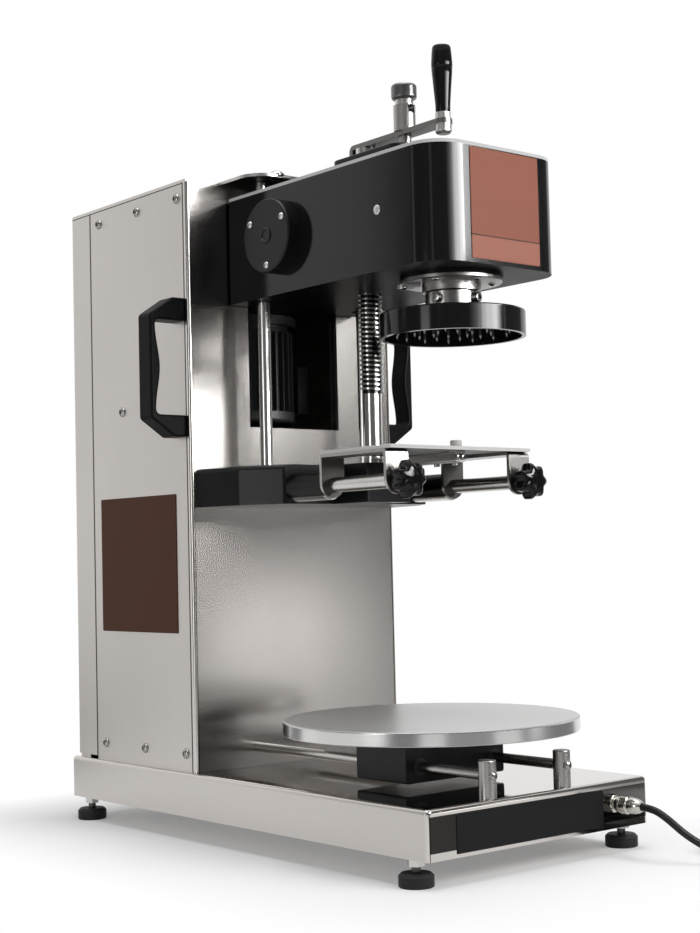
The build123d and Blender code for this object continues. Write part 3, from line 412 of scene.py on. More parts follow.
def dress_faces(material, name, wanted):
    """Give the wanted faces of a node one more material."""
    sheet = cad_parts[name].data
    sheet.materials.append(material)
    for face in sheet.polygons:
        if wanted(face):
            face.material_index = len(sheet.materials) - 1


def faces_down(face):
    return face.normal.z < -0.9


def faces_aside(face):
    return abs(face.normal.z) < 0.9


def add_object(name, data, material=None):
    made = bpy.data.objects.new(name, data)
    bpy.context.collection.objects.link(made)
    if material:
        made.data.materials.append(material)
    return made


def mesh_of(form, name):
    bmesh.ops.recalc_face_normals(form, faces=form.faces)
    for face in form.faces:
        face.smooth = True
    mesh = bpy.data.meshes.new(name)
    form.to_mesh(mesh)
    form.free()
    mesh.set_sharp_from_angle(angle=radians(35.0))
    return mesh


def turned(name, profile, place, aim, lobes=0, steps=56):
    """Return a closed mesh of rings (height, radius, lobe depth if any) along an axis."""
    turn = aim.to_track_quat("Z", "Y").to_matrix()
    form = bmesh.new()
    rings = []
    for height, radius, *depth in profile:
        ring = []
        for step in range(steps):
            angle = 2.0 * pi * step / steps
            reach = radius * (1.0 + sum(depth) * cos(lobes * angle))
            local = Vector((reach * cos(angle), reach * sin(angle), height))
            ring.append(form.verts.new(Vector(place) + turn @ local))
        rings.append(ring)
    for low, high in zip(rings, rings[1:]):
        for corners in zip(low, low[1:] + low[:1], high[1:] + high[:1], high):
            form.faces.new(corners)
    form.faces.new(rings[0])
    form.faces.new(rings[-1])
    return mesh_of(form, name)


def slab(name, centre, width, height, thick, aim, corner):
    """Return a mesh of a thin plate with rounded corners that stands out along aim."""
    side = UP.cross(aim)
    form = bmesh.new()
    outline = []
    for index, (across, along) in enumerate(((1, 1), (-1, 1), (-1, -1), (1, -1))):
        for step in range(7):
            angle = pi / 2.0 * (index + step / 6.0)
            u = across * (width / 2.0 - corner) + corner * cos(angle)
            v = along * (height / 2.0 - corner) + corner * sin(angle)
            outline.append(form.verts.new(Vector(centre) + side * u + UP * v))
    back = form.faces.new(outline)
    grown = bmesh.ops.extrude_face_region(form, geom=[back])["geom"]
    front = [item for item in grown if isinstance(item, bmesh.types.BMVert)]
    bmesh.ops.translate(form, verts=front, vec=aim * thick)
    rim = [item for item in grown if isinstance(item, bmesh.types.BMEdge)]
    bmesh.ops.bevel(form, geom=rim, offset=thick * 0.4, segments=2, affect="EDGES")
    return mesh_of(form, name)


def geometry_graph(name):
    tree = bpy.data.node_groups.new(name, "GeometryNodeTree")
    for way in ("INPUT", "OUTPUT"):
        tree.interface.new_socket("Geometry", in_out=way, socket_type="NodeSocketGeometry")
    return Graph(tree)


def named_inputs(graph, **defaults):
    sockets = graph.tree.interface
    for name, default in defaults.items():
        sockets.new_socket(name, in_out="INPUT", socket_type="NodeSocketFloat").default_value = default
    sockets.new_socket("Material", in_out="INPUT", socket_type="NodeSocketMaterial")
    entry = graph.tree.nodes.new("NodeGroupInput")
    return {socket.name: Value(graph, socket) for socket in entry.outputs if socket.name}


def close_graph(graph, geometry, material):
    whole = graph.node("GeometryNodeRealizeInstances", {0: geometry})
    painted = graph.node("GeometryNodeSetMaterial", {0: whole, "Material": material})
    target = graph.tree.nodes.new("NodeGroupOutput")
    graph.tree.links.new(painted.socket, target.inputs[0])
    return graph.tree


def creased(graph, geometry):
    smooth = graph.node("GeometryNodeSetShadeSmooth", {0: geometry})
    bend = graph.node("GeometryNodeInputMeshEdgeAngle")
    sharp = {0: smooth, "Selection": bend > 0.6, "Shade Smooth": False}
    return graph.node("GeometryNodeSetShadeSmooth", sharp, domain="EDGE")


def moved(graph, geometry, **change):
    return graph.node("GeometryNodeTransform", {0: geometry, **change})


def grow(name, seed_mesh, tree, **values):
    """Return an object with the mesh that a node tree makes of a seed mesh."""
    seed = add_object(name + "_seed", seed_mesh)
    modifier = seed.modifiers.new("Shape", "NODES")
    modifier.node_group = tree
    for key, value in values.items():
        modifier[tree.interface.items_tree[key].identifier] = value
    seed.update_tag()
    evaluated = seed.evaluated_get(bpy.context.evaluated_depsgraph_get())
    mesh = bpy.data.meshes.new_from_object(evaluated)
    bpy.data.objects.remove(seed)
    return add_object(name, mesh)


def screw_tree():
    """Heads with a hexagon socket on each point, aimed and sized by the point's attributes."""
    graph = geometry_graph("Socket screws")
    given = named_inputs(graph, Dome=0.55, Height=0.0, Depth=0.3)
    height = given["Height"]
    ball = graph.node("GeometryNodeMeshUVSphere", {"Segments": 28, "Rings": 14})
    flat = graph.vector(1.0, 1.0, given["Dome"])
    dome = moved(graph, ball, Scale=flat, Translation=graph.vector(0.0, 0.0, height))
    shank = graph.node(
        "GeometryNodeMeshCylinder", {"Vertices": 28, "Radius": 0.985, "Depth": height * 2.0 + 0.02}
    )
    hexagon = graph.node("GeometryNodeMeshCylinder", {"Vertices": 6, "Radius": 0.52, "Depth": 1.0})
    sunk = graph.vector(0.0, 0.0, height + given["Dome"] - given["Depth"] + 0.5)
    cutter = moved(graph, hexagon, Translation=sunk)
    solid = graph.node("GeometryNodeMeshBoolean", {1: dome}, operation="UNION")
    graph.tree.links.new(shank.socket, solid.socket.node.inputs[1])
    head = graph.node("GeometryNodeMeshBoolean", {0: solid, 1: cutter}, operation="DIFFERENCE")
    aim = graph.node("GeometryNodeInputNamedAttribute", {0: "aim"}, data_type="FLOAT_VECTOR")
    size = graph.node("GeometryNodeInputNamedAttribute", {0: "size"})
    turn = graph.node("FunctionNodeAlignRotationToVector", {"Vector": aim}, axis="Z")
    spots = graph.node(
        "GeometryNodeInstanceOnPoints",
        {0: given["Geometry"], "Instance": creased(graph, head), "Rotation": turn, "Scale": size},
    )
    return close_graph(graph, spots, given["Material"])


def screw_points(name, spots):
    mesh = bpy.data.meshes.new(name)
    mesh.from_pydata([place for place, aim, size in spots], [], [])
    mesh.attributes.new("aim", "FLOAT_VECTOR", "POINT")
    mesh.attributes.new("size", "FLOAT", "POINT")
    for index, (place, aim, size) in enumerate(spots):
        mesh.attributes["aim"].data[index].vector = aim
        mesh.attributes["size"].data[index].value = size
    return mesh


def thread_tree():
    """A trapezoid ridge wound round a turned stem."""
    graph = geometry_graph("Trapezoid thread")
    given = named_inputs(graph, Pitch=0.006)
    pitch = given["Pitch"]
    depth = THREAD_CREST - THREAD_CORE + 0.0006
    middle = THREAD_CREST - depth / 2.0
    length = THREAD_TOP - THREAD_BOTTOM - pitch
    helix = graph.node(
        "GeometryNodeCurveSpiral",
        {"Resolution": 40, "Rotations": length / pitch, "Start Radius": middle, "End Radius": middle,
         "Height": length},
    )
    upright = graph.node("GeometryNodeSetCurveNormal", {0: helix}, mode="Z_UP")
    trapezoid = graph.node(
        "GeometryNodeCurvePrimitiveQuadrilateral",
        {"Height": depth, "Bottom Width": pitch * 0.66, "Top Width": pitch * 0.34, "Offset": 0.0},
        mode="TRAPEZOID",
    )
    facing = moved(graph, trapezoid, Rotation=(0.0, 0.0, pi / 2.0))
    ridge = graph.node(
        "GeometryNodeCurveToMesh", {"Curve": upright, "Profile Curve": facing, "Fill Caps": True}
    )
    placed = moved(graph, ridge, Translation=graph.vector(0.0, SCREW_Y, THREAD_BOTTOM + pitch * 0.5))
    joined = graph.node("GeometryNodeJoinGeometry", {0: given["Geometry"]})
    graph.tree.links.new(creased(graph, placed).socket, joined.socket.node.inputs[0])
    return close_graph(graph, joined, given["Material"])


ANGLE = {"subtype": "ANGLE", "unit": "ROTATION"}
DISTANCE = {"subtype": "DISTANCE", "unit": "LENGTH"}


def number(name, description, default, **kind):
    return FloatProperty(name=name, description=description, default=default, **kind)


def tint(name, description, default):
    return FloatVectorProperty(
        name=name, description=description, default=default, subtype="COLOR", min=0.0, max=1.0
    )


class ShaverStage(bpy.types.PropertyGroup):
    """Camera, floor and lamps."""

    place: FloatVectorProperty(
        name="Camera place", description="Where the camera stands",
        default=(-1.3314, -1.6484, 0.3534), subtype="TRANSLATION", unit="LENGTH",
    )
    azimuth: number("Azimuth", "Turn of the view from the +Y axis towards +X", radians(39.66), **ANGLE)
    pitch: number("Pitch", "Upward tilt of the view", radians(3.18), **ANGLE)
    roll: number("Roll", "Turn of the picture about the view", radians(-1.37), **ANGLE)
    lens: number("Lens", "Focal length of the camera", 62.594, min=20.0, unit="CAMERA")
    floor: tint("Floor", "Colour of the floor", (0.9, 0.9, 0.9))
    sky: number("Sky light", "Strength of the light from all round", 0.32, min=0.0)
    key: number("Key lamp", "Power of the lamp at the front right", 12.0, min=0.0, unit="POWER")
    fill: number("Fill lamp", "Power of the lamp at the left", 6.0, min=0.0, unit="POWER")
    top: number("Top lamp", "Power of the lamp overhead", 34.0, min=0.0, unit="POWER")


class ShaverSheet(bpy.types.PropertyGroup):
    """Stainless sheet and plates."""

    steel: tint("Stainless", "Colour of the stainless panels", (0.6, 0.57, 0.545))
    front_plate: tint("Front plate", "Colour of the plate on the head", (0.213, 0.082, 0.0565))
    side_plate: tint("Side plate", "Colour of the plate on the column", (0.078, 0.033, 0.019))
    strip: tint("Base strip", "Colour of the strip on the base", (0.012, 0.012, 0.013))


class ShaverParts(bpy.types.PropertyGroup):
    """Paint, bright metal and moulded pieces."""

    black: tint("Black paint", "Colour of the painted head and bracket", (0.006, 0.006, 0.0065))
    plastic: tint("Plastic", "Colour of the crank grip", (0.007, 0.007, 0.0075))
    bright: tint("Bright steel", "Colour of the ground bars", (0.62, 0.61, 0.59))
    pitch: number("Thread pitch", "Rise of the lead screw in one turn", 0.006, min=0.003, **DISTANCE)
    screw: number("Screw head", "Radius of the panel screws", 0.0066, min=0.002, **DISTANCE)
    lobes: IntProperty(
        name="Knob lobes", description="Lobes of the star knobs", default=7, min=5, max=9
    )
    lead: number("Lead", "Diameter of the mains lead", 0.0085, min=0.005, **DISTANCE)


class SHAVER_OT_stage(bpy.types.Operator):
    """Set the camera, the floor, the background and the lamps"""

    bl_idname = "shaver.stage"
    bl_label = "Stage"

    def execute(self, context):
        given = context.scene.shaver_stage
        lens = bpy.data.cameras.new("Camera")
        lens.lens = given.lens
        camera = add_object("Camera", lens)
        camera.matrix_world = (
            Matrix.Translation(given.place) @ Matrix.Rotation(-given.azimuth, 4, "Z")
            @ Matrix.Rotation(pi / 2.0 + given.pitch, 4, "X") @ Matrix.Rotation(given.roll, 4, "Z")
        )
        context.scene.camera = camera

        sheet = bpy.data.meshes.new("Floor")
        sheet.from_pydata([(-9, -9, 0), (9, -9, 0), (9, 9, 0), (-9, 9, 0)], [], [(0, 1, 2, 3)])
        floor = add_object("Floor", sheet, self.floor_finish(given))
        lamps = [
            self.lamp("Key", (0.42, -1.506, 0.92), (0.0, -0.15, 0.74), 0.87, 0.64, given.key),
            self.lamp("Fill", (-2.3, -0.42, 0.55), (0.0, 0.0, 0.5), 0.55, 0.9, given.fill),
            self.lamp("Top", (0.0, -0.2, 2.5), (0.0, 0.0, 0.5), 1.6, 1.6, given.top),
        ]
        lamps[0].visible_glossy = False
        self.screen()
        self.diffuser()
        self.sky(context.scene, given.sky)
        context.scene.view_settings.view_transform = "Standard"
        return {"FINISHED"}

    def lamp(self, name, place, target, width, height, power):
        light = bpy.data.lights.new(name, "AREA")
        light.shape = "RECTANGLE"
        light.size = width
        light.size_y = height
        light.energy = power
        lamp = add_object(name, light)
        turn = (Vector(target) - Vector(place)).to_track_quat("-Z", "Y")
        lamp.matrix_world = Matrix.Translation(place) @ turn.to_matrix().to_4x4()
        return lamp

    def toned_sheet(self, name, patches):
        """Return a mesh of patches, each a row of low and high corners with its tone."""
        form = bmesh.new()
        tones = form.faces.layers.float.new("tone")
        for row, tone in patches:
            posts = [[form.verts.new(corner) for corner in post] for post in row]
            for (a, b), (c, d) in zip(posts, posts[1:]):
                form.faces.new((a, b, d, c))[tones] = tone
        return mesh_of(form, name)

    def tone(self, f):
        return f.node("ShaderNodeAttribute", output="Fac", attribute_name="tone")

    def glow(self, f, tone):
        """Return light of a tone that faint folds break up."""
        folds = f.noise((2.0, 2.0, 0.5), 2.0)
        return f.node("ShaderNodeEmission", {"Color": f.shade(WHITE, tone * (0.8 + 0.4 * folds))})

    def screen(self):
        """Return a curved screen with floor mats, which only reflections show."""
        bands = [(*turns, (SCREEN_REACH, low), (SCREEN_REACH, high), tone)
                 for *turns, low, high, tone in SCREEN_WALL]
        bands += [(*turns, (near, MAT_HEIGHT), (far, MAT_HEIGHT), tone)
                  for *turns, near, far, tone in SCREEN_MATS]
        patches = []
        for first, last, *edges, tone in bands:
            turns = [radians(first + (last - first) * step / 12.0) for step in range(13)]
            row = [[(r * sin(turn), r * cos(turn), z) for r, z in edges] for turn in turns]
            patches.append((row, tone))
        f = Finish("Dark screen")
        clear = f.node("ShaderNodeBsdfTransparent")
        ways = {0: f.ray("Is Glossy Ray"), 1: clear, 2: self.glow(f, self.tone(f))}
        dark = f.surface(f.node("ShaderNodeMixShader", ways))
        return add_object("Screen", self.toned_sheet("Screen", patches), dark)

    def diffuser(self):
        """Return the key's diffuser, which only reflections show, and not those in level tops."""
        patches = []
        for *sides, low, high, tone in CARD_STRIPS:
            row = [[CARD_PLACE + CARD_ACROSS * u + CARD_UP * v for v in (low, high)]
                   for u in sides]
            patches.append((row, tone))
        f = Finish("Diffuser")
        clear = f.node("ShaderNodeBsdfTransparent")
        straight = f.ray("Glossy Depth") < 1.5
        tone = self.tone(f).at_most(3.0 + 60.0 * straight) * f.ray("Is Glossy Ray")
        bright = f.surface(f.node("ShaderNodeAddShader", {0: clear, 1: self.glow(f, tone)}))
        diffuser = add_object("Diffuser", self.toned_sheet("Diffuser", patches), bright)
        tops = bpy.data.collections.new("Level tops")
        for name in ("turntable", "head_lid", "blade_plate"):
            tops.objects.link(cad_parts[name])
        for item in tops.collection_objects:
            item.light_linking.link_state = "EXCLUDE"
        diffuser.light_linking.receiver_collection = tops
        return diffuser

    def seen(self, graph):
        """Return 1 for rays of the camera and of reflections, otherwise 0."""
        kinds = ("Is Camera Ray", "Is Glossy Ray", "Is Transmission Ray")
        camera, glossy, through = (graph.ray(kind) for kind in kinds)
        return (camera + glossy + through).at_most(1.0)

    def floor_finish(self, given):
        """Return a matt floor that glows white away from the base."""
        f = Finish("Studio floor")
        colour = f.shade(given.floor, 0.98 + 0.04 * f.noise(3.0, 2.0))
        matt = f.node("ShaderNodeBsdfDiffuse", {"Color": colour})
        white = f.node("ShaderNodeEmission")
        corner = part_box("base_housing")[1]
        beside = (abs(f.axis(0)) - corner.x).at_least(0.0)
        before = (abs(f.axis(1)) - corner.y).at_least(0.0)
        away = f.spread((beside * beside + before * before).root(), 0.02, 0.22)
        share = self.seen(f) * (0.2 + 0.8 * away)
        return f.surface(f.node("ShaderNodeMixShader", {0: share, 1: matt, 2: white}))

    def sky(self, scene, strength):
        world = bpy.data.worlds.new("Studio")
        scene.world = world
        world.use_nodes = True
        graph = Graph(world.node_tree)
        graph.tree.nodes.clear()
        soft, white = (
            graph.node("ShaderNodeBackground", {"Color": rgba(WHITE), "Strength": power})
            for power in (strength, 1.0)
        )
        mixed = graph.node("ShaderNodeMixShader", {0: self.seen(graph), 1: soft, 2: white})
        target = graph.tree.nodes.new("ShaderNodeOutputWorld")
        graph.tree.links.new(mixed.socket, target.inputs["Surface"])


class SHAVER_OT_lead(bpy.types.Operator):
    """Lay the mains lead from the gland to its coil and plug"""

    bl_idname = "shaver.lead"
    bl_label = "Mains lead"

    def execute(self, context):
        given = context.scene.shaver_parts
        curve = bpy.data.curves.new("mains_lead_curve", "CURVE")
        curve.dimensions = "3D"
        curve.bevel_depth = given.lead / 2.0
        curve.bevel_resolution = 5
        curve.use_fill_caps = True
        points = self.points()
        spline = curve.splines.new("NURBS")
        spline.points.add(len(points) - 1)
        for point, place in zip(spline.points, points):
            point.co = (*place, 1.0)
        spline.order_u = 3
        spline.use_endpoint_u = True
        spline.resolution_u = 6
        sheath = moulding("Lead sheath", grey(0.012), 0.38, 500.0, 0.00003)
        lead = add_object("mains_lead_sheath", curve, sheath)
        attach(lead, "frame")
        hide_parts("mains_lead", "lead_coil")
        return {"FINISHED"}

    def points(self):
        """Return the control points of the free run and of the coil, inward and out again."""
        points = [Vector(point) for point in LEAD_ROUTE]
        for index in range(COIL_HALF_TURNS):
            inward = COIL_CROSSING - abs(index - COIL_CROSSING)
            shift = COIL_PITCH if index < COIL_CROSSING else -COIL_PITCH
            centre = COIL_ENTRY + COIL_ACROSS * (COIL_RADIUS + shift * (index % 2))
            radius = (COIL_RADIUS - COIL_PITCH * inward) / cos(pi / (2.0 * COIL_STEPS))
            reach = -radius if index % 2 else radius
            for step in range(COIL_STEPS):
                share = (step + 0.5) / COIL_STEPS
                height = COIL_CLIMB * min(max(index - COIL_CROSSING + share, 0.0), 1.0)
                across = COIL_ACROSS * cos(pi * share)
                points.append(centre + (COIL_HEADING * sin(pi * share) - across) * reach + UP * height)
        points.append(COIL_ENTRY + COIL_HEADING * COIL_TAIL + UP * COIL_CLIMB)
        return points


class SHAVER_OT_sheet(bpy.types.Operator):
    """Dress the stainless panels, the base and the lid"""

    bl_idname = "shaver.sheet"
    bl_label = "Sheet metal"

    def execute(self, context):
        steel = context.scene.shaver_sheet.steel
        low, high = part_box("side_panel_left")
        dark_bands = ((1, high.y, 0.0017), (1, low.y, 0.0014), (2, high.z, 0.0016))
        dress(brushed_sheet("Stainless sides", steel, SHEET_UPRIGHT, 0.3, dark_bands=dark_bands),
              "side_panel_left", "side_panel_right", "rear_cover", "corner_posts")
        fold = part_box("front_panel")[1].x - 0.0045
        dark_bands = ((1, low.y, 0.0014), (0, fold, 0.0007), (0, -fold, 0.0005))
        dress(brushed_sheet("Stainless front", steel, PANEL_LEVEL, 0.15, 0.000018, dark_bands), "front_panel")
        low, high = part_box("base_housing")
        dress(base_sheet("Stainless base", steel, high.x - low.x, low.y), "base_housing")
        dress(brushed_sheet("Stainless top", steel, SHEET_ALONG, 0.26), "top_plate")
        # Painted shade: the roof plate's downward faces are near black steel, for the shade and dark
        # reflection under it.
        dark = brushed_sheet("Roof underside", grey(0.05), SHEET_ALONG, 0.4)
        dress_faces(dark, "top_plate", faces_down)
        dress(brushed_sheet("Lid", grey(0.1), SHEET_ALONG, 0.4), "head_lid")
        # Painted highlight: the lid's side faces are a pale satin that stands in for the light line
        # along its edge.
        dress_faces(cast_metal("Lid edge", grey(0.56), 0.0, 0.45), "head_lid", faces_aside)
        return {"FINISHED"}


class SHAVER_OT_black(bpy.types.Operator):
    """Dress the painted pieces, the motor and its belt, the handles, the feet and the plug"""

    bl_idname = "shaver.black"
    bl_label = "Black pieces"

    def execute(self, context):
        paint = context.scene.shaver_parts.black
        dress(enamel("Black gloss", paint, 0.07, 0.0, 260.0, 0.28), "head_housing", "spike_ring")
        # Painted shade: the head's downward faces are the black gloss with almost no shine and rougher,
        # so they stay dark like shade.
        underside_painted_shade = enamel("Head underside", paint, 0.3, 0.0, 420.0, 0.03)
        dress_faces(underside_painted_shade, "head_housing", faces_down)
        dress(enamel("Black satin", paint, 0.26, 0.0, 420.0),
              "side_cover", "carriage", "lower_bracket", "index_block")
        dress(enamel("Motor enamel", (0.03, 0.03, 0.031), 0.36, 0.1, 300.0), "motor_body")
        alloy = cast_metal("Motor alloy", (0.055, 0.055, 0.054), 0.5, 0.42)
        dress(alloy, "motor_end_bell", "terminal_box")
        dress(moulding("Belt", grey(0.012), 0.6, 900.0, 0.00008), "drive_belt")
        handle = moulding("Handle plastic", (0.0045, 0.0045, 0.0048), 0.34, 900.0, 0.00001, 0.06)
        dress(handle, "handle_left", "handle_right")
        dress(moulding("Rubber", grey(0.016), 0.55, 700.0, 0.00006), "foot_pads")
        dress(moulding("Plug plastic", grey(0.014), 0.34, 700.0, 0.00004), "mains_plug", "coil_tie")
        return {"FINISHED"}


class SHAVER_OT_bright(bpy.types.Operator):
    """Dress the rods, shafts, blades, turntable and other bright metal"""

    bl_idname = "shaver.bright"
    bl_label = "Bright metal"

    def execute(self, context):
        bright = context.scene.shaver_parts.bright
        for name, colour, grain, roughness, nodes in (
            ("Upright bar", bright, BAR_UPRIGHT, 0.14,
             ("guide_rod_left", "guide_rod_right", "crank_hub", "motor_shaft", "spindle_shaft")),
            ("Level bar", bright, BAR_LEVEL, 0.14, ("rails",)),
            ("Plunger body", (0.42, 0.41, 0.4), PIN_LINES, 0.28, ("plunger_body",)),
            ("Post steel", (0.4, 0.39, 0.375), BAR_UPRIGHT, 0.2, ("rail_posts",)),
            ("Spike steel", (0.3, 0.3, 0.29), BAR_UPRIGHT, 0.25, ("spikes",)),
            ("Blade", (0.66, 0.66, 0.65), (600.0, 20.0, 600.0), 0.12, ("blade",)),
            ("Bronze", (0.48, 0.3, 0.12), BAR_UPRIGHT, 0.3, ("guide_bushes", "screw_nut")),
        ):
            dress(bright_bar(name, colour, grain, roughness), *nodes)
        # Painted shade: a dark band on the stud below the nut and a thin dark line between the nut and
        # the base.
        dark_bands = ((2, 0.0185, 0.0035), (2, 0.03, 0.0008))
        stud = brushed_sheet("Stud steel", (0.62, 0.615, 0.6), BAR_UPRIGHT, 0.24, dark_bands=dark_bands)
        dress(stud, "foot_studs")
        knob = (0.0, -0.165, 0.03, 0.9185)
        dress(two_tone("Plunger pin", bright, grey(0.17), knob, 0.25, PIN_LINES), "plunger_pin")
        washer = (0.0, -0.235, 0.0108, 0.0)
        arm = two_tone("Crank steel", (0.2, 0.195, 0.19), bright, washer, 0.28, (420.0, 6.0, 420.0))
        dress(arm, "crank_arm")
        rods = shouldered_bar("Blade rods", bright, -0.0555, 0.4275)
        dress(rods, "blade_rod_left", "blade_rod_right")

        brackets = ("blade_bracket_left", "blade_bracket_right")
        plate = brushed_sheet("Blade plate", (0.42, 0.405, 0.39), PLATE_ALONG, 0.26)
        dress(plate, "blade_plate", "blade_holder", *brackets)
        # Painted shade: the blade plate's downward faces and the inner faces of the rear bracket legs
        # are near black steel, for the shade and dark reflection there.
        shaded = brushed_sheet("Shaded steel", (0.07, 0.068, 0.065), PLATE_ALONG, 0.34)
        dress_faces(shaded, "blade_plate", faces_down)
        # Painted highlight: the blade plate's side faces are a pale satin that stands in for the light
        # along its edges.
        pale = cast_metal("Plate edge", (0.64, 0.63, 0.62), 0.0, 0.45)
        dress_faces(pale, "blade_plate", faces_aside)
        for name in brackets:
            middle = sum(corner.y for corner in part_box(name)) / 2.0
            dress_faces(shaded, name, lambda face: face.normal.y < -0.9 and face.center.y > middle)

        table = turned_disc("Turntable", (0.55, 0.55, 0.545), (-0.0145, -0.2), 0.3, 0.17705, 0.55)
        dress(table, "turntable")
        spindle = (0.0, SPINDLE_Y)
        dress(turned_disc("Spindle steel", (0.42, 0.41, 0.395), spindle, 0.2),
              "spindle_hub", "spindle_bearings", "spindle_pulley")
        dress(turned_disc("Flange steel", (0.38, 0.37, 0.36), spindle, 0.32), "bearing_cover")
        dress(turned_disc("Drive pulley", (0.55, 0.55, 0.54), (0.0, 0.166), 0.3), "drive_pulley")
        arm = cast_metal("Slotted arm", (0.5, 0.49, 0.48), 1.0, 0.3)
        dress(arm, "slotted_arm", "turntable_bearing")
        dress(cast_metal("Bush steel", grey(0.05), 0.8, 0.35), "carriage_bushes")
        return {"FINISHED"}


class SHAVER_OT_thread(bpy.types.Operator):
    """Cut the thread of the lead screw"""

    bl_idname = "shaver.thread"
    bl_label = "Lead screw"

    def execute(self, context):
        given = context.scene.shaver_parts
        low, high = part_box("lead_screw")
        core, rib, neck = THREAD_CORE, THREAD_CORE + 0.0016, 0.01
        profile = [(low.z, core - 0.001), (low.z + 0.001, core), (0.47, core)]
        for start in (0.4702, 0.4724, 0.4746):
            steps = ((0.0, core), (0.0003, rib), (0.0014, rib), (0.0017, core))
            profile += [(start + rise, radius) for rise, radius in steps]
        profile += [(THREAD_TOP - 0.0005, core), (THREAD_TOP, neck), (high.z, neck)]
        stem = turned("lead_screw_stem", profile, (0.0, SCREW_Y, 0.0), UP)
        steel = thread_steel("Screw steel", given.bright, 0.0121, 0.0147, 0.5585)
        screw = grow("lead_screw_thread", stem, thread_tree(), Pitch=given.pitch, Material=steel)
        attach(screw, "screw")
        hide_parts("lead_screw")
        return {"FINISHED"}


class SHAVER_OT_screws(bpy.types.Operator):
    """Set the screw heads of the panels, covers, posts, blade table and hub"""

    bl_idname = "shaver.screws"
    bl_label = "Screws"

    def execute(self, context):
        size = context.scene.shaver_parts.screw
        steel = cast_metal("Screw heads", (0.34, 0.33, 0.32), 1.0, 0.08)
        tree = screw_tree()
        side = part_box("side_panel_left")[0].x
        panel = [(y, z) for z in (0.8224, 0.108) for y in (0.2877, 0.1898, 0.0935)] + [(0.2329, 0.556)]
        spots = [((way * side, y, z), LEFT * way, size) for way in (1, -1) for y, z in panel]
        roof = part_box("top_plate")[1].z
        spots += [((x, -0.005, roof), UP, 0.0105) for x in (-0.08, 0.08)]
        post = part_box("rail_posts")[0].y
        spots += [((x, post, 0.11), FRONT, 0.0052) for x in (-0.074, 0.045)]
        spots += [((x, y, 0.4813), UP, 0.0042) for x in (-ROD_X, ROD_X) for y in (-0.15, -0.228)]
        self.fit("frame_screws", spots, "frame", tree, steel, Dome=0.62)
        spots = [((x, y, roof), UP, 0.0068) for x in (-0.152, 0.152) for y in (0.1, 0.335)]
        self.fit("roof_screws", spots, "frame", tree, steel, Dome=0.6, Height=0.35)
        low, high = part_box("blade_holder")
        middle = (low.x + high.x) / 2.0
        spots = [((middle, y, low.z), -UP, 0.0038) for y in (-0.222, -0.19, -0.158)]
        spots += [((middle + x, low.y, low.z + 0.0062), FRONT, 0.0036) for x in (-0.004, 0.004)]
        self.fit("holder_screws", spots, "frame", tree, steel, Dome=0.1, Height=0.9, Depth=0.5)

        pale = cast_metal("Pale screws", (0.62, 0.61, 0.6), 1.0, 0.22)
        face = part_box("side_cover")[0].x
        spots = [((face, *self.circle(0.0375, turn, COVER_Y, COVER_Z)), LEFT, 0.0046)
                 for turn in (30.0, 150.0, 270.0)]
        spots += [((*self.circle(0.049, turn, 0.0, SPINDLE_Y), 0.6765), -UP, 0.0048)
                  for turn in range(24, 360, 60)]
        spots.append(((*self.circle(0.058, 144.0, 0.0, SPINDLE_Y), 0.673), -UP, 0.0055))
        self.fit("head_screws", spots, "head", tree, pale)

        spots = []
        for turn in (-75.0, -165.0):
            aim = Vector((*self.circle(1.0, turn), 0.0))
            spots.append((Vector((0.0, SPINDLE_Y, 0.6575)) + aim * 0.0318, aim, 0.006))
        self.fit("hub_screws", spots, "spindle", tree, pale, Dome=0.12, Height=1.1, Depth=0.6)
        return {"FINISHED"}

    def circle(self, radius, turn, u=0.0, v=0.0):
        return u + radius * cos(radians(turn)), v + radius * sin(radians(turn))

    def fit(self, name, spots, body, tree, steel, **shape):
        screws = grow(name, screw_points(name, spots), tree, Material=steel, **shape)
        if not screws.data.polygons:
            raise RuntimeError(name + " came out empty")
        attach(screws, body)


class SHAVER_OT_plates(bpy.types.Operator):
    """Fix the three bare plates, the head's plug and the cover's hub"""

    bl_idname = "shaver.plates"
    bl_label = "Plates"

    def execute(self, context):
        given = context.scene.shaver_sheet
        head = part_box("head_housing")[0]
        band = tuple(min(1.0, 1.22 * part + 0.02) for part in given.front_plate)
        brown = printed_plate("Front plate", given.front_plate, band, 0.7165)
        plate = slab("front_plate_mesh", (0.0035, head.y, 0.7545), 0.111, 0.129, 0.001, FRONT, 0.0015)
        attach(add_object("front_plate", plate, brown), "head")

        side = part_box("side_panel_left")[0].x
        plate = slab("side_plate_mesh", (side, 0.1985, 0.34975), 0.185, 0.1795, 0.001, LEFT, 0.0015)
        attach(add_object("side_plate", plate, printed_plate("Side plate", given.side_plate)), "frame")

        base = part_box("base_housing")[0].y
        plate = slab("base_strip_mesh", (-0.0185, base, 0.055), 0.233, 0.042, 0.0008, FRONT, 0.001)
        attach(add_object("base_strip", plate, printed_plate("Base strip", given.strip)), "frame")

        profile = [(-0.001, 0.0058), (0.0006, 0.0058), (0.0014, 0.0048), (0.0017, 0.003),
                   (0.0018, 0.0004)]
        button = turned("head_plug_mesh", profile, (head.x, -0.2296, COVER_Z), LEFT)
        pale = cast_metal("Plug metal", (0.62, 0.61, 0.6), 1.0, 0.3)
        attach(add_object("head_plug", button, pale), "head")

        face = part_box("side_cover")[0].x
        profile = [(-0.001, 0.0105), (0.0008, 0.0105), (0.0016, 0.0096), (0.0016, 0.007),
                   (0.0004, 0.0062), (0.0003, 0.0004)]
        hub = turned("side_cover_hub_mesh", profile, (face, COVER_Y, COVER_Z), LEFT)
        dark = enamel("Cover hub", grey(0.008), 0.35, 0.1, 400.0)
        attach(add_object("side_cover_hub", hub, dark), "head")
        return {"FINISHED"}


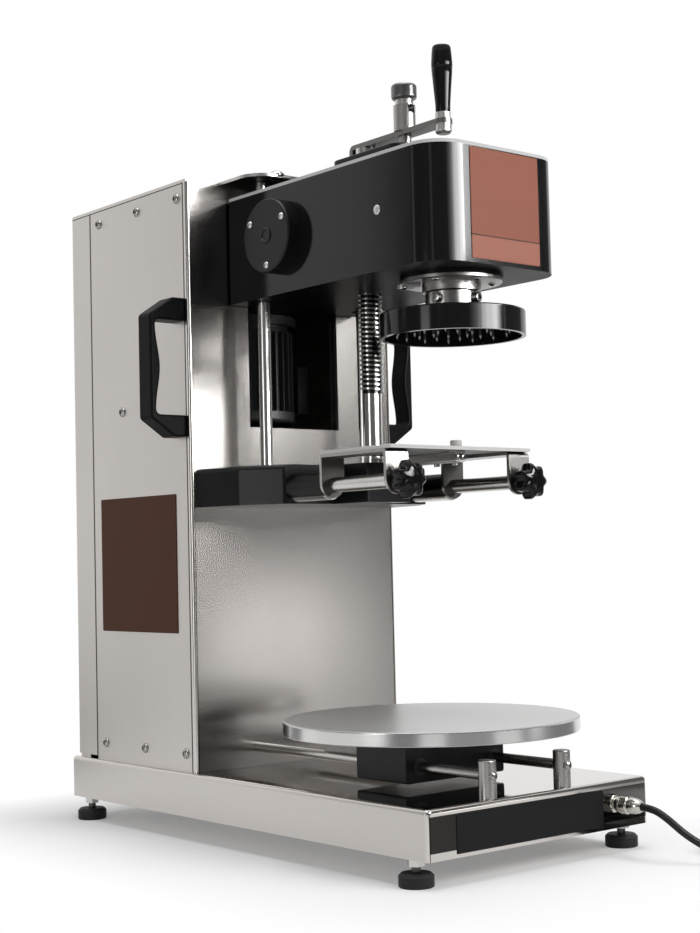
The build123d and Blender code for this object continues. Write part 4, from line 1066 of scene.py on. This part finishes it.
class SHAVER_OT_gland(bpy.types.Operator):
    """Turn the cable gland with its nuts and dome"""

    bl_idname = "shaver.gland"
    bl_label = "Cable gland"

    def execute(self, context):
        low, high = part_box("cable_gland")
        wide = min(high.x - low.x, high.z - low.z) / 2.0
        nut = (0.052,)
        profile = [
            (0.0, 0.93, *nut), (0.007, 0.93, *nut), (0.0076, 0.86), (0.008, 0.72), (0.011, 0.72),
            (0.0114, 0.84), (0.015, 0.86), (0.0154, 0.74), (0.017, 0.74), (0.0176, 0.88, *nut),
            (0.0182, 0.93, *nut), (0.027, 0.93, *nut), (0.0276, 0.88, *nut), (0.028, 0.78),
            (0.0292, 0.78), (0.0296, 0.86), (0.034, 0.85), (0.0385, 0.78), (0.042, 0.67),
            (0.0445, 0.54), (0.0457, 0.43), (0.045, 0.36),
        ]
        rings = [(height, wide * share, *lobe) for height, share, *lobe in profile]
        place = (GLAND_X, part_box("base_housing")[0].y, GLAND_Z)
        mesh = turned("cable_gland_mesh", rings, place, FRONT, 6, 72)
        nickel = cast_metal("Nickel", (0.56, 0.54, 0.5), 1.0, 0.12)
        gland = add_object("cable_gland_turned", mesh, nickel)
        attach(gland, "frame")
        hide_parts("cable_gland")
        return {"FINISHED"}


class SHAVER_OT_knobs(bpy.types.Operator):
    """Turn the crank's grip and mould the star knobs"""

    bl_idname = "shaver.knobs"
    bl_label = "Grip and star knobs"

    def execute(self, context):
        given = context.scene.shaver_parts
        low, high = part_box("crank_grip")
        profile = [
            (0.0, 0.66), (0.001, 0.69), (0.01, 0.71), (0.03, 0.83), (0.046, 0.945),
            (0.0546, 0.995), (0.055, 0.985), (0.0553, 0.955), (0.0558, 0.955), (0.0561, 0.985),
            (0.0565, 1.0), (0.062, 0.995), (0.072, 0.945), (0.079, 0.89), (0.0808, 0.85),
            (0.0819, 0.79), (0.0822, 0.72),
        ]
        widest = (high.x - low.x) / 2.0
        reach = (high.z - low.z) / profile[-1][0]
        rings = [(height * reach, widest * share) for height, share in profile]
        place = ((low.x + high.x) / 2.0, (low.y + high.y) / 2.0, low.z)
        mesh = turned("crank_grip_mesh", rings, place, UP)
        plastic = moulding("Grip plastic", given.plastic, 0.07, 300.0, 0.000003, 0.16)
        grip = add_object("crank_grip_turned", mesh, plastic)
        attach(grip, "grip")
        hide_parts("crank_grip")

        plastic = moulding("Knob plastic", (0.004, 0.004, 0.0042), 0.05, 400.0, 0.000002, 0.2)
        profile = [
            (0.0, 0.012), (0.0006, 0.0127), (0.0112, 0.0129), (0.0117, 0.015, 0.04),
            (0.012, 0.019, 0.12), (0.0132, 0.02, 0.125), (0.016, 0.0201, 0.125),
            (0.0225, 0.0201, 0.125), (0.0252, 0.0193, 0.12), (0.0272, 0.0175, 0.1),
            (0.0287, 0.015, 0.07), (0.0297, 0.012, 0.035), (0.0303, 0.0085, 0.015),
            (0.0306, 0.005), (0.0307, 0.0012),
        ]
        for side, name in ((-1, "left"), (1, "right")):
            place = (side * ROD_X, -0.2483, ROD_Z)
            mesh = turned("knob_mesh_" + name, profile, place, FRONT, given.lobes, 84)
            knob = add_object("star_knob_" + name, mesh, plastic)
            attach(knob, "star_knob_" + name)
            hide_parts("knob_" + name)
        return {"FINISHED"}


class SHAVER_PT_panel(bpy.types.Panel):
    """Lists the steps that dress the machine"""

    bl_label = "Chocolate shaver"
    bl_space_type = "VIEW_3D"
    bl_region_type = "UI"
    bl_category = "Shaver"

    def draw(self, context):
        scene = context.scene
        for group in (scene.shaver_stage, scene.shaver_sheet, scene.shaver_parts):
            box = self.layout.box()
            for name in group.__annotations__:
                box.prop(group, name)
        for step in STEPS:
            self.layout.operator(step.bl_idname)


STEPS = (
    SHAVER_OT_stage, SHAVER_OT_lead, SHAVER_OT_sheet, SHAVER_OT_black, SHAVER_OT_bright,
    SHAVER_OT_thread, SHAVER_OT_screws, SHAVER_OT_plates, SHAVER_OT_gland, SHAVER_OT_knobs,
)
CLASSES = (ShaverStage, ShaverSheet, ShaverParts, *STEPS, SHAVER_PT_panel)


def register():
    for item in CLASSES:
        bpy.utils.register_class(item)
    bpy.types.Scene.shaver_stage = PointerProperty(type=ShaverStage)
    bpy.types.Scene.shaver_sheet = PointerProperty(type=ShaverSheet)
    bpy.types.Scene.shaver_parts = PointerProperty(type=ShaverParts)


def unregister():
    del bpy.types.Scene.shaver_parts
    del bpy.types.Scene.shaver_sheet
    del bpy.types.Scene.shaver_stage
    for item in reversed(CLASSES):
        bpy.utils.unregister_class(item)


def main():
    register()
    bpy.ops.shaver.stage()
    bpy.ops.shaver.lead()
    bpy.ops.shaver.sheet()
    bpy.ops.shaver.black()
    bpy.ops.shaver.bright()
    bpy.ops.shaver.thread()
    bpy.ops.shaver.screws()
    bpy.ops.shaver.plates()
    bpy.ops.shaver.gland()
    bpy.ops.shaver.knobs()


if __name__ == "__main__":
    main()
